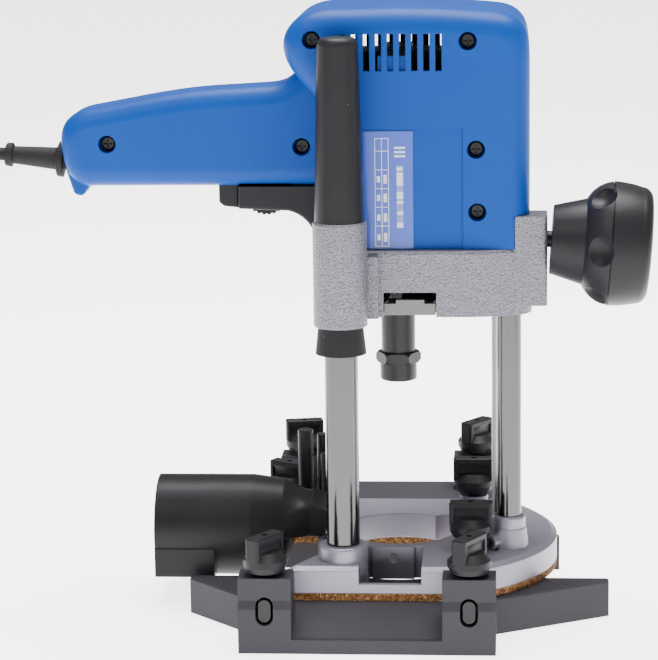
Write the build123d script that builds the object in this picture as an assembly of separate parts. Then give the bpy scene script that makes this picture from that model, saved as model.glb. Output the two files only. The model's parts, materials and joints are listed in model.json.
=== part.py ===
from build123d import *
import math
import os

# Plunge router. X runs along the handle, Y runs away from the user's side, +Z is up.
# Everything is laid out about the spindle axis, and moved at the end so that the
# origin is the middle of the footprint, on the surface that the shoes stand on.

# ---------------------------------------------------------------- driving sizes
# base
SHOE_HEIGHT = 18.0          # thickness of the two sliding shoes
SHOE_GAP = 0.2              # air between the shoes and the cork
SOLE_THICK = 3.6            # cork sole
CASTING_THICK = 12.8        # base casting
CASTING_RADIUS = 79.0       # round right-hand side of the base casting
CASTING_FRONT = -71.0       # flat front edge
CASTING_BACK = 60.0         # flat back edge
CASTING_BEVEL = 3.0         # bevel round the upper rim
OPENING_RADIUS = 28.7       # hole for the cutter
OPENING_LOBE = 8.0          # radius of the chip lobe beside the hole
POCKET_X = -1.8             # middle of the pocket for the side fence
POCKET_HALF = 15.0
POCKET_BACK = -33.0         # wall that the fence bolts to
BRIDGE_HIGH = 4.6           # bar left across the mouth of the pocket
BRIDGE_DEEP = 3.0
FENCE_PAD = 2.0             # machined pad on that wall
FENCE_PAD_HALF = 10.4
FENCE_THREAD = 5.0          # tapping bore of an M6 thread
FENCE_HOLE_DROP = 5.6       # hole axis below the casting's top

# columns
NEAR_X, NEAR_Y = -25.0, -54.0
NEAR_DIA = 16.0
FAR_X, FAR_Y = 55.0, -30.0
FAR_DIA = 12.0
NEAR_BOSS_RADIUS = 12.0
NEAR_BOSS_RISE = 7.6
FAR_BOSS_RADIUS = 8.4
FAR_BOSS_RISE = 16.0
NEAR_COLUMN_TOP = 195.0
FAR_COLUMN_TOP = 200.0
SCALE_ROD_DIA = 6.0
SCALE_ROD_X, SCALE_ROD_Y = 49.5, -16.0
SCALE_ROD_TOP = 205.0
RUNNING_CLEARANCE = 0.05    # radial, between a column and its bush
CLEAR = 0.3                 # between pieces that pass each other

# guide bars and shoes
BAR_X = (-60.0, 36.5)       # left and right bar
BAR_WIDE = 6.0
BAR_HIGH = 11.0
BAR_SUNK = 3.0              # the bars start this far below the top of the shoes
BAR_FRONT, BAR_BACK = -96.2, 156.0
BAR_PLAY = 0.4
BLOCK_HALF = 12.6
BLOCK_OVER_BAR = 10.4       # material over the bar in a clamp block
BLOCK_DEPTH = 18.0
FRONT_EDGE = -97.5          # front face of the front shoe
FRONT_SHOE_BACK = -29.0
FRONT_SHOE_LEFT, FRONT_SHOE_RIGHT = -103.0, 104.0
REAR_EDGE = 157.5
REAR_SHOE_FRONT = 45.0
REAR_SHOE_LEFT, REAR_SHOE_RIGHT = -80.0, 81.0
SHOE_LIP = 7.0              # height of the lip between the blocks
WING_ROOT = -65.0            # where the front wings leave the sides of the blocks
SHOE_TRAVEL = 10.0

# carriage
CARRIAGE_BOTTOM = 152.0
CARRIAGE_TOP = 184.0
CARRIAGE_WALL = 5.0
CARRIAGE_FLOOR = 6.0
CARRIAGE_LEFT, CARRIAGE_RIGHT = -38.5, 66.0
CARRIAGE_FRONT, CARRIAGE_BACK = -45.5, 45.5
CREASE_X = 33.5             # where the front wall starts to curve round the far column
NEAR_SLEEVE_RADIUS = 12.9
NEAR_SLEEVE_BOTTOM, NEAR_SLEEVE_TOP = 149.5, 200.0
FAR_SLEEVE_RADIUS = 9.6
FAR_SLEEVE_TOP = 203.5
BUSH_WALL = 2.0
LUG_OUT = 73.4              # outer face of the clamp lug
LUG_BOTTOM, LUG_TOP = 156.4, 199.7
LUG_HALF = 10.0
WINDOW_LEFT, WINDOW_RIGHT = -4.9, 20.3
WINDOW_TOP = 163.9
PLUNGE = 52.0               # travel of the carriage
GAITER_BOTTOM = 136.3
GAITER_WALL = 3.6            # rubber round the near column
CAP_RADIUS = 11.9
CAP_TOP_RADIUS = 9.6
CAP_TOP = 287.0
CAP_BORE = 8.3
SPRING_RADIUS = 6.2
SPRING_WIRE = 1.6
SPRING_TURNS = 11

# motor housing
HOUSING_TOP = 299.0
HOUSING_RIGHT = 65.0
HOUSING_LEFT = -36.0
HOUSING_HALF = 41.0         # half of the depth of the body
HANDLE_HALF = 17.5          # half of the depth of the handle
HANDLE_TOP, HANDLE_BOTTOM = 260.3, 211.0
HANDLE_END = -164.5
HANDLE_ROUND = 9.0
BODY_ROUND = 11.0
HOUSING_WALL = 3.0
VENT_COUNT = 9
VENT_PITCH = 5.7
VENT_WIDE = 2.9
VENT_BOTTOM, VENT_TOP = HOUSING_TOP - 29.5, HOUSING_TOP - 12.1
VENT_RIGHT = 21.9           # middle of the last slot
PANEL_LEFT, PANEL_RIGHT, PANEL_TOP = -14.6, 33.2, 242.4
PANEL_DEPTH = 0.8
LABEL_RIGHT = 9.5
SCREW_HOLE = 4.3            # radius of the recess over each housing screw
SCREW_DEPTH = 7.0
# x, z and the front of the surface that each screw goes into
HOUSING_SCREWS = (
    (HOUSING_LEFT - 2.2, HOUSING_TOP - 14.6, HOUSING_HALF),
    (HOUSING_RIGHT - 29.3, HOUSING_TOP - 15.6, HOUSING_HALF),
    (39.5, 232.0, HOUSING_HALF),
    (40.0, 202.0, HOUSING_HALF),
    (HOUSING_LEFT - 9.5, HANDLE_BOTTOM + 19.7, HANDLE_HALF),
    (HANDLE_END + 23.8, HANDLE_BOTTOM + 21.4, HANDLE_HALF),
)

# motor
SHAFT_RADIUS = 6.0
COLLAR_RADIUS = 8.4
COLLAR_BOTTOM = 126.2
LOWER_BEARING_RADIUS = 16.0
LOWER_BEARING_Z = 163.0
LOWER_BEARING_WIDE = 9.0
UPPER_BEARING_RADIUS = 11.0
UPPER_BEARING_Z = HOUSING_TOP - 28.0
UPPER_BEARING_WIDE = 7.0
FAN_RADIUS = 31.0
FAN_Z = 190.0
ARMATURE_RADIUS = 18.0
ARMATURE_LOW, ARMATURE_HIGH = 204.0, 240.0
AIR_GAP = 0.6
STATOR_RADIUS = -HOUSING_LEFT - HOUSING_WALL - 1.0
COMMUTATOR_RADIUS = 12.0
COMMUTATOR_LOW, COMMUTATOR_HIGH = 246.0, 260.0
HEX_ACROSS = 19.5
NUT_RADIUS = 9.1
NUT_BOTTOM, HEX_BOTTOM = 112.0, 120.8
COLLET_BORE = 8.0

# controls
TRIGGER_LEFT, TRIGGER_RIGHT = -87.3, -77.5
TRIGGER_HALF = 9.0
TRIGGER_BOTTOM = 200.4
TRIGGER_TRAVEL = 5.0
SURROUND_LEFT, SURROUND_RIGHT = -77.2, -36.2
WHEEL_X, WHEEL_Z = -64.3, 207.5
WHEEL_RADIUS = 12.0
WHEEL_WIDE = 9.0
KNOB_AXIS_Z = 187.2         # height of the knob's inner end, on its axis
KNOB_INNER_X = 75.4
KNOB_DROOP = 4.2            # degrees that the knob's axis points down
KNOB_RADIUS = 30.0
KNOB_NECK_RADIUS = 16.6
KNOB_SHOULDER_RADIUS = 20.8
KNOB_LENGTH = 47.0
STUD_RADIUS = 4.0
DENT_CIRCLE, DENT_ALONG, DENT_RADIUS = 33.4, 19.6, 10.0
LOCK_TRAVEL = 4.0           # of the spindle lock plate

# wing knobs
WING_HUB_RADIUS = 10.4
WING_NECK = 2.0
WING_HUB_HIGH = 8.0
WING_HIGH = 9.4
WING_LONG = 21.0
WING_WIDE = 7.6
WING_STUD_RADIUS = 2.9

# turret
TURRET_X, TURRET_Y = -43.3, 36.5
TURRET_RADIUS = 11.4
TURRET_POST_CIRCLE = 6.9

# dust spout
SPOUT_LEFT = -122.0
SPOUT_FOOT_RIGHT = -92.0     # the socket stands square on this much of its length
SPOUT_FOOT_DROP = 21.3       # underside of the square part below the axis
SPOUT_OUTER, SPOUT_BORE = 25.4, 22.4
SPOUT_Y = 2.0
SPOUT_RISE = 1.2            # axis of the spout above the casting
DUCT_LEFT = -68.0
DUCT_HALF = 17.0
DUCT_WALL = 2.0
BELLY_X, BELLY_RADIUS = -58.0, 23.2     # the round part narrows a little up to here
NECK_RISE = 16.5             # top of the duct above the casting: at its neck,
BROW_RISE = 11.0             # over the edge of the hole,
MOUTH_RISE = 8.5             # and at its mouth

# mains lead
CORD_DIA = 6.5
BOOT_TIP = -194.0
EXIT_Z = 225.6
COIL_TURN_DIA = 72.0        # at the middle of the turns
COIL_WIDE = 3 * CORD_DIA
COIL_HIGH = 2.6 * CORD_DIA

# ---------------------------------------------------------------- derived places
SOLE_BOTTOM = SHOE_HEIGHT + SHOE_GAP
CASTING_BOTTOM = SOLE_BOTTOM + SOLE_THICK
CASTING_TOP = CASTING_BOTTOM + CASTING_THICK
BAR_BOTTOM = SHOE_HEIGHT - BAR_SUNK
BAR_TOP = BAR_BOTTOM + BAR_HIGH
BLOCK_HEIGHT = BAR_TOP + BLOCK_OVER_BAR
SPOUT_Z = CASTING_TOP + SPOUT_RISE
SPOUT_FOOT_LOW = SPOUT_Z - SPOUT_FOOT_DROP
NEAR_R = NEAR_DIA / 2
FAR_R = FAR_DIA / 2
GAITER_RADIUS = NEAR_R + GAITER_WALL
ROD_R = SCALE_ROD_DIA / 2
CORD_R = CORD_DIA / 2
FLOOR_REST = 0.1            # the lead's lowest line above the surface
DROOP = math.radians(KNOB_DROOP)
KNOB_DIR = Vector(math.cos(DROOP), 0, -math.sin(DROOP))


# ---------------------------------------------------------------- small helpers
def cyl(radius, z0, z1, x=0.0, y=0.0):
    return Pos(x, y, (z0 + z1) / 2) * Cylinder(radius, z1 - z0)


def cone(r0, r1, z0, z1, x=0.0, y=0.0):
    return Pos(x, y, (z0 + z1) / 2) * Cone(r0, r1, z1 - z0)


def block(x0, x1, y0, y1, z0, z1):
    middle = Pos((x0 + x1) / 2, (y0 + y1) / 2, (z0 + z1) / 2)
    return middle * Box(x1 - x0, y1 - y0, z1 - z0)


def rod(start, end, radius):
    start, end = Vector(*start), Vector(*end)
    run = end - start
    at = Plane(origin=start, z_dir=run)
    return at * Cylinder(radius, run.length, align=(Align.CENTER, Align.CENTER, Align.MIN))


def plate(points, z0, z1):
    return Pos(0, 0, z0) * extrude(make_face(Polyline(*points, close=True)), z1 - z0)


def side_face(line_points, radii, y):
    at = Plane(origin=(0, y, 0), x_dir=(1, 0, 0), z_dir=(0, -1, 0))
    return at * make_face(FilletPolyline(*line_points, radius=radii, close=True))


def side_prism(line_points, radii, y0, y1):
    return extrude(side_face(line_points, radii, y1), y1 - y0)


def ring(outer, inner, z0, z1, x=0.0, y=0.0):
    return cyl(outer, z0, z1, x, y) - cyl(inner, z0 - 1, z1 + 1, x, y)


def obround_bar(x, wide, z0, z1, y0, y1):
    radius = wide / 2
    middle = block(x - radius, x + radius, y0, y1, z0 + radius, z1 - radius)
    ends = [rod((x, y0, z), (x, y1, z), radius) for z in (z0 + radius, z1 - radius)]
    return middle + ends[0] + ends[1]


def largest(shape):
    return max(shape.solids(), key=lambda solid: solid.volume)


NODES = {}
LEAD_NODES = ("cord_tube", "cord_coil", "cord_tie", "plug_body", "plug_pins")


def keep(name, *shapes):
    NODES[name] = [solid for shape in shapes for solid in shape.solids()]


# ---------------------------------------------------------------- base
def base_outline():
    """Plan of the casting: round on the right, flat at front and back, with a
    tongue on the left that carries the left guide bar."""
    front_x = math.sqrt(CASTING_RADIUS**2 - CASTING_FRONT**2)
    back_x = math.sqrt(CASTING_RADIUS**2 - CASTING_BACK**2)
    rim = ThreePointArc((front_x, CASTING_FRONT), (CASTING_RADIUS, 0), (back_x, CASTING_BACK))
    tongue = BAR_X[0] - BLOCK_HALF
    rest = Polyline(
        (back_x, CASTING_BACK),
        (tongue, CASTING_BACK),
        (tongue, SPOUT_Y + SPOUT_OUTER + 1.5),
        (-44.0, SPOUT_Y + SPOUT_OUTER + 1.5),
        (-38.0, -42.0),
        (-52.0, CASTING_FRONT + 2),
        (-48.0, CASTING_FRONT),
        (front_x, CASTING_FRONT),
    )
    return make_face([rim, rest])


def opening(z0, z1):
    lobe = cyl(OPENING_LOBE, z0, z1, 23.5, 18.0)
    return cyl(OPENING_RADIUS, z0, z1) + lobe


def bar_slot(x, play):
    return obround_bar(x, BAR_WIDE + 2 * play, BAR_BOTTOM - play, BAR_TOP + play, -120, 190)


PLATE_KNOBS = {
    "wing_knob_plate_front": (BAR_X[1], -40.0, 0.0, 5.6),
    "wing_knob_plate_rear": (BAR_X[1], 47.0, 0.0, 5.6),
    "wing_knob_plate_left": (BAR_X[0], 52.0, -28.0, 2.2),
}                           # x, y, turn, and the rise of the pad on the casting
PAD_RADIUS = 7.4


def make_base_casting():
    body = Pos(0, 0, CASTING_BOTTOM) * extrude(base_outline(), CASTING_THICK)
    top = body.faces().sort_by(Axis.Z)[-1]
    body = chamfer(top.outer_wire().edges(), CASTING_BEVEL * 0.6, CASTING_BEVEL)
    # pocket and pad for the side fence
    left, right = POCKET_X - POCKET_HALF, POCKET_X + POCKET_HALF
    bridge_top = CASTING_BOTTOM + BRIDGE_HIGH
    bridge_back = CASTING_FRONT + BRIDGE_DEEP
    body -= block(left, right, bridge_back, POCKET_BACK, CASTING_BOTTOM - 1, CASTING_TOP + 1)
    body -= block(left, right, CASTING_FRONT - 1, bridge_back + 1, bridge_top, CASTING_TOP + 1)
    skirt_low = SOLE_BOTTOM + SHOE_GAP
    body += block(left, right, POCKET_BACK, POCKET_BACK + 2, skirt_low, CASTING_BOTTOM + 1)
    pad_left, pad_right = POCKET_X - FENCE_PAD_HALF, POCKET_X + FENCE_PAD_HALF
    pad_front = POCKET_BACK - FENCE_PAD
    body += block(pad_left, pad_right, pad_front, POCKET_BACK + 0.5, skirt_low, CASTING_TOP)
    # column bosses
    near_top = CASTING_TOP + NEAR_BOSS_RISE
    near = cyl(NEAR_BOSS_RADIUS, CASTING_BOTTOM, near_top, NEAR_X, NEAR_Y)
    near = fillet(near.edges().sort_by(Axis.Z)[-1], 1.5)
    body += near
    tier = CASTING_TOP + FAR_BOSS_RISE * 0.62
    far = cone(FAR_BOSS_RADIUS + 1.6, FAR_BOSS_RADIUS, CASTING_TOP - 1, tier, FAR_X, FAR_Y)
    far_head = cyl(FAR_BOSS_RADIUS - 0.3, tier, CASTING_TOP + FAR_BOSS_RISE, FAR_X, FAR_Y)
    far_head = fillet(far_head.edges().sort_by(Axis.Z)[-1], 1.4)
    body += far
    body += far_head
    body += rod(SET_SCREW_OUT, (FAR_X, FAR_Y, SET_SCREW_Z), 3.6)
    body += cyl(5.0, CASTING_TOP - 1, CASTING_TOP + 5, SCALE_ROD_X, SCALE_ROD_Y)
    for x, y, _, rise in PLATE_KNOBS.values():
        body += cyl(PAD_RADIUS, CASTING_TOP - 1, CASTING_TOP + rise, x, y)
    # holes
    body -= opening(CASTING_BOTTOM - 1, CASTING_TOP + 10)
    body -= cyl(NEAR_R, CASTING_BOTTOM - 1, near_top + 1, NEAR_X, NEAR_Y)
    body -= cyl(FAR_R, CASTING_BOTTOM - 1, CASTING_TOP + 40, FAR_X, FAR_Y)
    body -= cyl(ROD_R, CASTING_BOTTOM + 3, CASTING_TOP + 10, SCALE_ROD_X, SCALE_ROD_Y)
    body -= rod(SET_SCREW_OUT, (FAR_X, FAR_Y, SET_SCREW_Z), SET_SCREW_RADIUS)
    hole_z = CASTING_TOP - FENCE_HOLE_DROP
    body -= rod((POCKET_X, -45, hole_z), (POCKET_X, -10, hole_z), FENCE_THREAD / 2)
    for x in BAR_X:
        body -= bar_slot(x, BAR_PLAY)
    for x, y, _, _ in PLATE_KNOBS.values():
        body -= cyl(WING_STUD_RADIUS + CLEAR, BAR_TOP, CASTING_TOP + 10, x, y)
    body -= cyl(2.2, CASTING_TOP - 9, CASTING_TOP + 1, TURRET_X, TURRET_Y)
    for x, y in SPOUT_SCREWS:
        body -= cyl(1.5, CASTING_TOP - 8, CASTING_TOP + 1, x, y)
    return largest(body)


def make_cork_sole():
    sole = Pos(0, 0, SOLE_BOTTOM) * extrude(base_outline(), SOLE_THICK)
    sole -= opening(SOLE_BOTTOM - 1, CASTING_BOTTOM + 1)
    sole -= block(POCKET_X - POCKET_HALF - CLEAR, POCKET_X + POCKET_HALF + CLEAR,
                  CASTING_FRONT + BRIDGE_DEEP, POCKET_BACK + 2 + CLEAR, SOLE_BOTTOM - 1, CASTING_BOTTOM + 1)
    for x in BAR_X:
        sole -= bar_slot(x, BAR_PLAY)
    return sole


SET_SCREW_Z = CASTING_TOP + 3.6          # clamps the foot of the far column
SET_SCREW_RADIUS = 2.0
SET_SCREW_AWAY = 0.72       # share of the way to the left that the screw points
SET_SCREW_OUT = (FAR_X - 12.5 * SET_SCREW_AWAY, FAR_Y - 12.5 * 0.69, SET_SCREW_Z)
SPOUT_SCREWS = ((-33.0, 21.5), (-33.0, -21.5))


def make_set_screw():
    along = Vector(FAR_X, FAR_Y, SET_SCREW_Z) - Vector(*SET_SCREW_OUT)
    tip = Vector(*SET_SCREW_OUT) + along.normalized() * (along.length - FAR_R - 0.1)
    screw = rod(SET_SCREW_OUT, tuple(tip), SET_SCREW_RADIUS - 0.05)
    socket_end = Vector(*SET_SCREW_OUT) + along.normalized() * 1.6
    return screw - rod(SET_SCREW_OUT, tuple(socket_end), 0.9)


# ---------------------------------------------------------------- shoes
def shoe_block(x, front, back):
    """A clamp block on a shoe, with a stepped outer face and a slot for its bar."""
    outer = front if front < 0 else back
    inner = back if front < 0 else front
    side = 1 if front < 0 else -1
    ledge_low, ledge_high, set_back = BAR_TOP - 4.5, BAR_TOP - 0.5, 1.6
    profile = [
        (outer, 0),
        (outer, ledge_low),
        (outer + side * set_back, ledge_high),
        (outer + side * set_back, BLOCK_HEIGHT),
        (inner, BLOCK_HEIGHT),
        (inner, 0),
    ]
    at = Plane(origin=(x - BLOCK_HALF, 0, 0), x_dir=(0, 1, 0), z_dir=(1, 0, 0))
    solid = extrude(at * make_face(Polyline(*profile, close=True)), 2 * BLOCK_HALF)
    return solid


def cut_for_bars(shoe, knob_y):
    for x in BAR_X:
        shoe -= bar_slot(x, 1.2)
        shoe -= cyl(WING_STUD_RADIUS + CLEAR, BAR_TOP, BLOCK_HEIGHT + 5, x, knob_y)
    return shoe


def make_front_shoe():
    left, right = BAR_X[0] - BLOCK_HALF, BAR_X[1] + BLOCK_HALF
    outline = [
        (FRONT_SHOE_LEFT, FRONT_SHOE_BACK),
        (FRONT_SHOE_LEFT, FRONT_SHOE_BACK - 5),
        (left, WING_ROOT),
        (left, FRONT_EDGE),
        (right, FRONT_EDGE),
        (right, WING_ROOT),
        (FRONT_SHOE_RIGHT, FRONT_SHOE_BACK - 5),
        (FRONT_SHOE_RIGHT, FRONT_SHOE_BACK),
    ]
    shoe = plate(outline, 0, SHOE_HEIGHT)
    tops = shoe.edges().filter_by(lambda e: abs(e.center().Z - SHOE_HEIGHT) < 0.01)
    shoe = chamfer(tops, 0.8)
    for x in BAR_X:
        shoe += shoe_block(x, FRONT_EDGE, FRONT_EDGE + BLOCK_DEPTH)
    # the slope down to the lip between the two blocks
    slope = [
        (FRONT_EDGE - 5, SHOE_HEIGHT + 5),
        (CASTING_FRONT, SHOE_HEIGHT + 5),
        (CASTING_FRONT, SHOE_HEIGHT),
        (FRONT_EDGE + 3, SHOE_LIP),
        (FRONT_EDGE - 5, SHOE_LIP),
    ]
    gap_left, gap_right = BAR_X[0] + BLOCK_HALF, BAR_X[1] - BLOCK_HALF
    at = Plane(origin=(gap_left, 0, 0), x_dir=(0, 1, 0), z_dir=(1, 0, 0))
    shoe -= extrude(at * make_face(Polyline(*slope, close=True)), gap_right - gap_left)
    # hollow in the back edge, clear of the cutter
    shoe -= cyl(OPENING_RADIUS + 6, -1, SHOE_HEIGHT + 1)
    return largest(cut_for_bars(shoe, FRONT_EDGE + BLOCK_DEPTH / 2))


def make_rear_shoe():
    left, right = BAR_X[0] - BLOCK_HALF - 1.0, BAR_X[1] + BLOCK_HALF + 1.0
    outline = [
        (REAR_SHOE_LEFT, REAR_SHOE_FRONT),
        (REAR_SHOE_RIGHT, REAR_SHOE_FRONT),
        (REAR_SHOE_RIGHT, REAR_SHOE_FRONT + 4),
        (REAR_SHOE_RIGHT - 12, REAR_SHOE_FRONT + 17),
        (right, REAR_EDGE),
        (left, REAR_EDGE),
        (REAR_SHOE_LEFT, REAR_SHOE_FRONT + 10),
    ]
    shoe = plate(outline, 0, SHOE_HEIGHT)
    tops = shoe.edges().filter_by(lambda e: abs(e.center().Z - SHOE_HEIGHT) < 0.01)
    shoe = fillet(tops, 1.0)
    for x in BAR_X:
        shoe += shoe_block(x, REAR_EDGE - BLOCK_DEPTH, REAR_EDGE)
    return largest(cut_for_bars(shoe, REAR_EDGE - BLOCK_DEPTH / 2))


def make_guide_bar(x):
    return obround_bar(x, BAR_WIDE, BAR_BOTTOM, BAR_TOP, BAR_FRONT, BAR_BACK)


# ---------------------------------------------------------------- wing knobs
def make_wing_knob(x, y, seat, turn):
    """Moulded wing head on its stud; the stud's tip stops just above the bar."""
    hub_low = seat + WING_NECK
    hub_high = hub_low + WING_HUB_HIGH
    top = hub_high + WING_HIGH
    hub = cone(WING_HUB_RADIUS - 1.6, WING_HUB_RADIUS, hub_low, hub_low + 3)
    hub += cyl(WING_HUB_RADIUS, hub_low + 3, hub_high - 2)
    hub += cone(WING_HUB_RADIUS, WING_HUB_RADIUS - 3.4, hub_high - 2, hub_high + 1.5)
    half = WING_LONG / 2
    bar = block(-half, half, -WING_WIDE / 2, WING_WIDE / 2, hub_high - 2, top)
    ends = bar.edges().filter_by(Axis.Z)
    bar = fillet(ends, 1.4)
    crown = bar.faces().sort_by(Axis.Z)[-1]
    bar = fillet(crown.edges(), 0.8)
    # finger hollows along both long sides of the wing
    for side in (-1, 1):
        reach = side * (WING_WIDE / 2 + 4.6)
        level = hub_high + 3.6
        bar -= rod((-half + 2.4, reach, level), (half - 2.4, reach, level), 5.6)
    knob = hub + bar
    knob += cyl(3.6, seat, hub_low + 0.5)
    knob -= cyl(1.5, top - 4, top + 1)
    knob += cyl(WING_STUD_RADIUS, BAR_TOP + CLEAR, seat + 0.5)
    return Pos(x, y, 0) * Rot(0, 0, turn) * knob


# ---------------------------------------------------------------- depth turret
def make_turret():
    low = CASTING_TOP + CLEAR
    turret = cyl(TURRET_RADIUS, low, low + 4.2)
    turret = fillet(turret.edges().sort_by(Axis.Z)[-1], 0.8)
    steps = ((180.0, 3.9, 77.0), (75.0, 3.2, 73.3), (-40.0, 4.0, 65.8))
    for angle, radius, top in steps:
        px = TURRET_POST_CIRCLE * math.cos(math.radians(angle))
        py = TURRET_POST_CIRCLE * math.sin(math.radians(angle))
        post = cyl(radius, low + 1, top, px, py)
        turret += fillet(post.edges().sort_by(Axis.Z)[-1], 0.6)
    turret -= cyl(2.3, low - 1, 80)
    return Pos(TURRET_X, TURRET_Y, 0) * turret


def make_turret_pin():
    head = cyl(2.9, CASTING_TOP + 4.8, CASTING_TOP + 7.0)
    pin = head + cyl(2.1, CASTING_TOP - 8.5, CASTING_TOP + 5)
    pin -= block(-4, 4, -0.5, 0.5, CASTING_TOP + 6.2, CASTING_TOP + 8)
    return Pos(TURRET_X, TURRET_Y, 0) * pin


# ---------------------------------------------------------------- dust spout
def make_dust_spout():
    """Round socket that flattens into a duct over the edge of the cutter hole."""
    socket_end = DUCT_LEFT - 6
    low = CASTING_TOP + CLEAR
    neck_x, mouth_x = -44.0, -22.0
    neck_top, brow_top, mouth_top = low + NECK_RISE, low + BROW_RISE, low + MOUTH_RISE

    def section(x):
        return Plane(origin=(x, SPOUT_Y, SPOUT_Z), x_dir=(0, 1, 0), z_dir=(1, 0, 0))

    def duct(wall):
        entry = section(socket_end) * Circle(SPOUT_OUTER - wall - (1.0 if wall else 0.0))
        belly = section(BELLY_X) * Circle(BELLY_RADIUS - wall)
        height = neck_top - low - 2 * wall
        neck = Plane(origin=(neck_x, 0, 0), x_dir=(0, 1, 0), z_dir=(1, 0, 0))
        neck = neck * Pos(0, (low + neck_top) / 2) * RectangleRounded(2 * (DUCT_HALF - wall), height, 3.0)
        return loft([entry, belly]) + loft([belly, neck])

    outer = rod((SPOUT_LEFT, SPOUT_Y, SPOUT_Z), (socket_end, SPOUT_Y, SPOUT_Z), SPOUT_OUTER)
    inner = rod((SPOUT_LEFT - 1, SPOUT_Y, SPOUT_Z), (socket_end, SPOUT_Y, SPOUT_Z), SPOUT_BORE)
    body = outer + duct(0)
    wide = SPOUT_OUTER - 0.2
    foot = block(SPOUT_LEFT, SPOUT_FOOT_RIGHT, SPOUT_Y - wide, SPOUT_Y + wide, SPOUT_FOOT_LOW, SPOUT_Z - 6.4)
    body += fillet(foot.edges().filter_by(Axis.X).sort_by(Axis.Z)[:2], 1.5)
    # sloping hood over the hole
    hood = [
        (neck_x - 1, low),
        (neck_x - 1, neck_top),
        (-31.0, brow_top),
        (mouth_x, mouth_top),
        (mouth_x, low),
    ]
    at = Plane(origin=(0, DUCT_HALF, 0), x_dir=(1, 0, 0), z_dir=(0, -1, 0))
    body += extrude(at * make_face(Polyline(*hood, close=True)), 2 * DUCT_HALF)
    core = [
        (neck_x - 2, low + DUCT_WALL),
        (neck_x - 2, neck_top - DUCT_WALL),
        (-32.0, brow_top - DUCT_WALL),
        (mouth_x + 1, mouth_top - DUCT_WALL),
        (mouth_x + 1, low + DUCT_WALL),
    ]
    half = DUCT_HALF - DUCT_WALL
    at = Plane(origin=(0, half, 0), x_dir=(1, 0, 0), z_dir=(0, -1, 0))
    hollow = extrude(at * make_face(Polyline(*core, close=True)), 2 * half)
    body -= inner
    body -= duct(DUCT_WALL)
    body -= hollow
    # mouth, open downwards into the hole
    body -= block(-27.5, mouth_x - 1.6, -9, 9, low - 2, mouth_top - 3)
    for x, y in SPOUT_SCREWS:
        tab = block(x - 4.5, x + 4.5, min(y, 0), max(y, 0), low, low + 3)
        tab -= block(x - 9, x + 9, -half, half, low - 1, low + 5)
        tab += cyl(4.5, low, low + 3, x, y)
        body += tab
        body -= cyl(2.0, low - 1, low + 5, x, y)
    # keeps clear of the left bar and of the casting's left edge
    body -= block(DUCT_LEFT - 4, 0, -40, 40, 0, CASTING_TOP)
    return largest(body)


def make_spout_screws():
    low = CASTING_TOP + CLEAR + 3
    screws = []
    for x, y in SPOUT_SCREWS:
        head = cyl(3.4, low, low + 2.4, x, y)
        head = fillet(head.edges().sort_by(Axis.Z)[-1], 0.9)
        screw = head + cyl(1.45, CASTING_TOP - 7.5, low + 0.5, x, y)
        screw -= block(x - 2, x + 2, y - 0.4, y + 0.4, low + 1.4, low + 4)
        screw -= block(x - 0.4, x + 0.4, y - 2, y + 2, low + 1.4, low + 4)
        screws.append(screw)
    return screws


# ---------------------------------------------------------------- carriage
def carriage_plan(inset):
    """Plan of the ring: a box on the left, bulging round the far column."""
    front = [
        (CARRIAGE_LEFT, CARRIAGE_FRONT + 6),
        (CARRIAGE_LEFT + 6, CARRIAGE_FRONT),
        (CREASE_X, CARRIAGE_FRONT),
    ]
    meet = (FAR_X + 2.5, FAR_Y - 10.5)
    curve = ThreePointArc((CREASE_X, CARRIAGE_FRONT), (46.5, CARRIAGE_FRONT + 1.5), meet)
    corner = ThreePointArc(meet, (CARRIAGE_RIGHT - 2.6, FAR_Y - 6.2), (CARRIAGE_RIGHT, FAR_Y + 3))
    rest = Polyline(
        (CARRIAGE_RIGHT, FAR_Y + 3),
        (CARRIAGE_RIGHT, CARRIAGE_BACK - 12),
        (CARRIAGE_RIGHT - 12, CARRIAGE_BACK),
        (CARRIAGE_LEFT + 6, CARRIAGE_BACK),
        (CARRIAGE_LEFT, CARRIAGE_BACK - 6),
        (CARRIAGE_LEFT, CARRIAGE_FRONT + 6),
    )
    face = make_face([Polyline(*front), curve, corner, rest])
    return offset(face, -inset, kind=Kind.INTERSECTION) if inset else face


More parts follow.
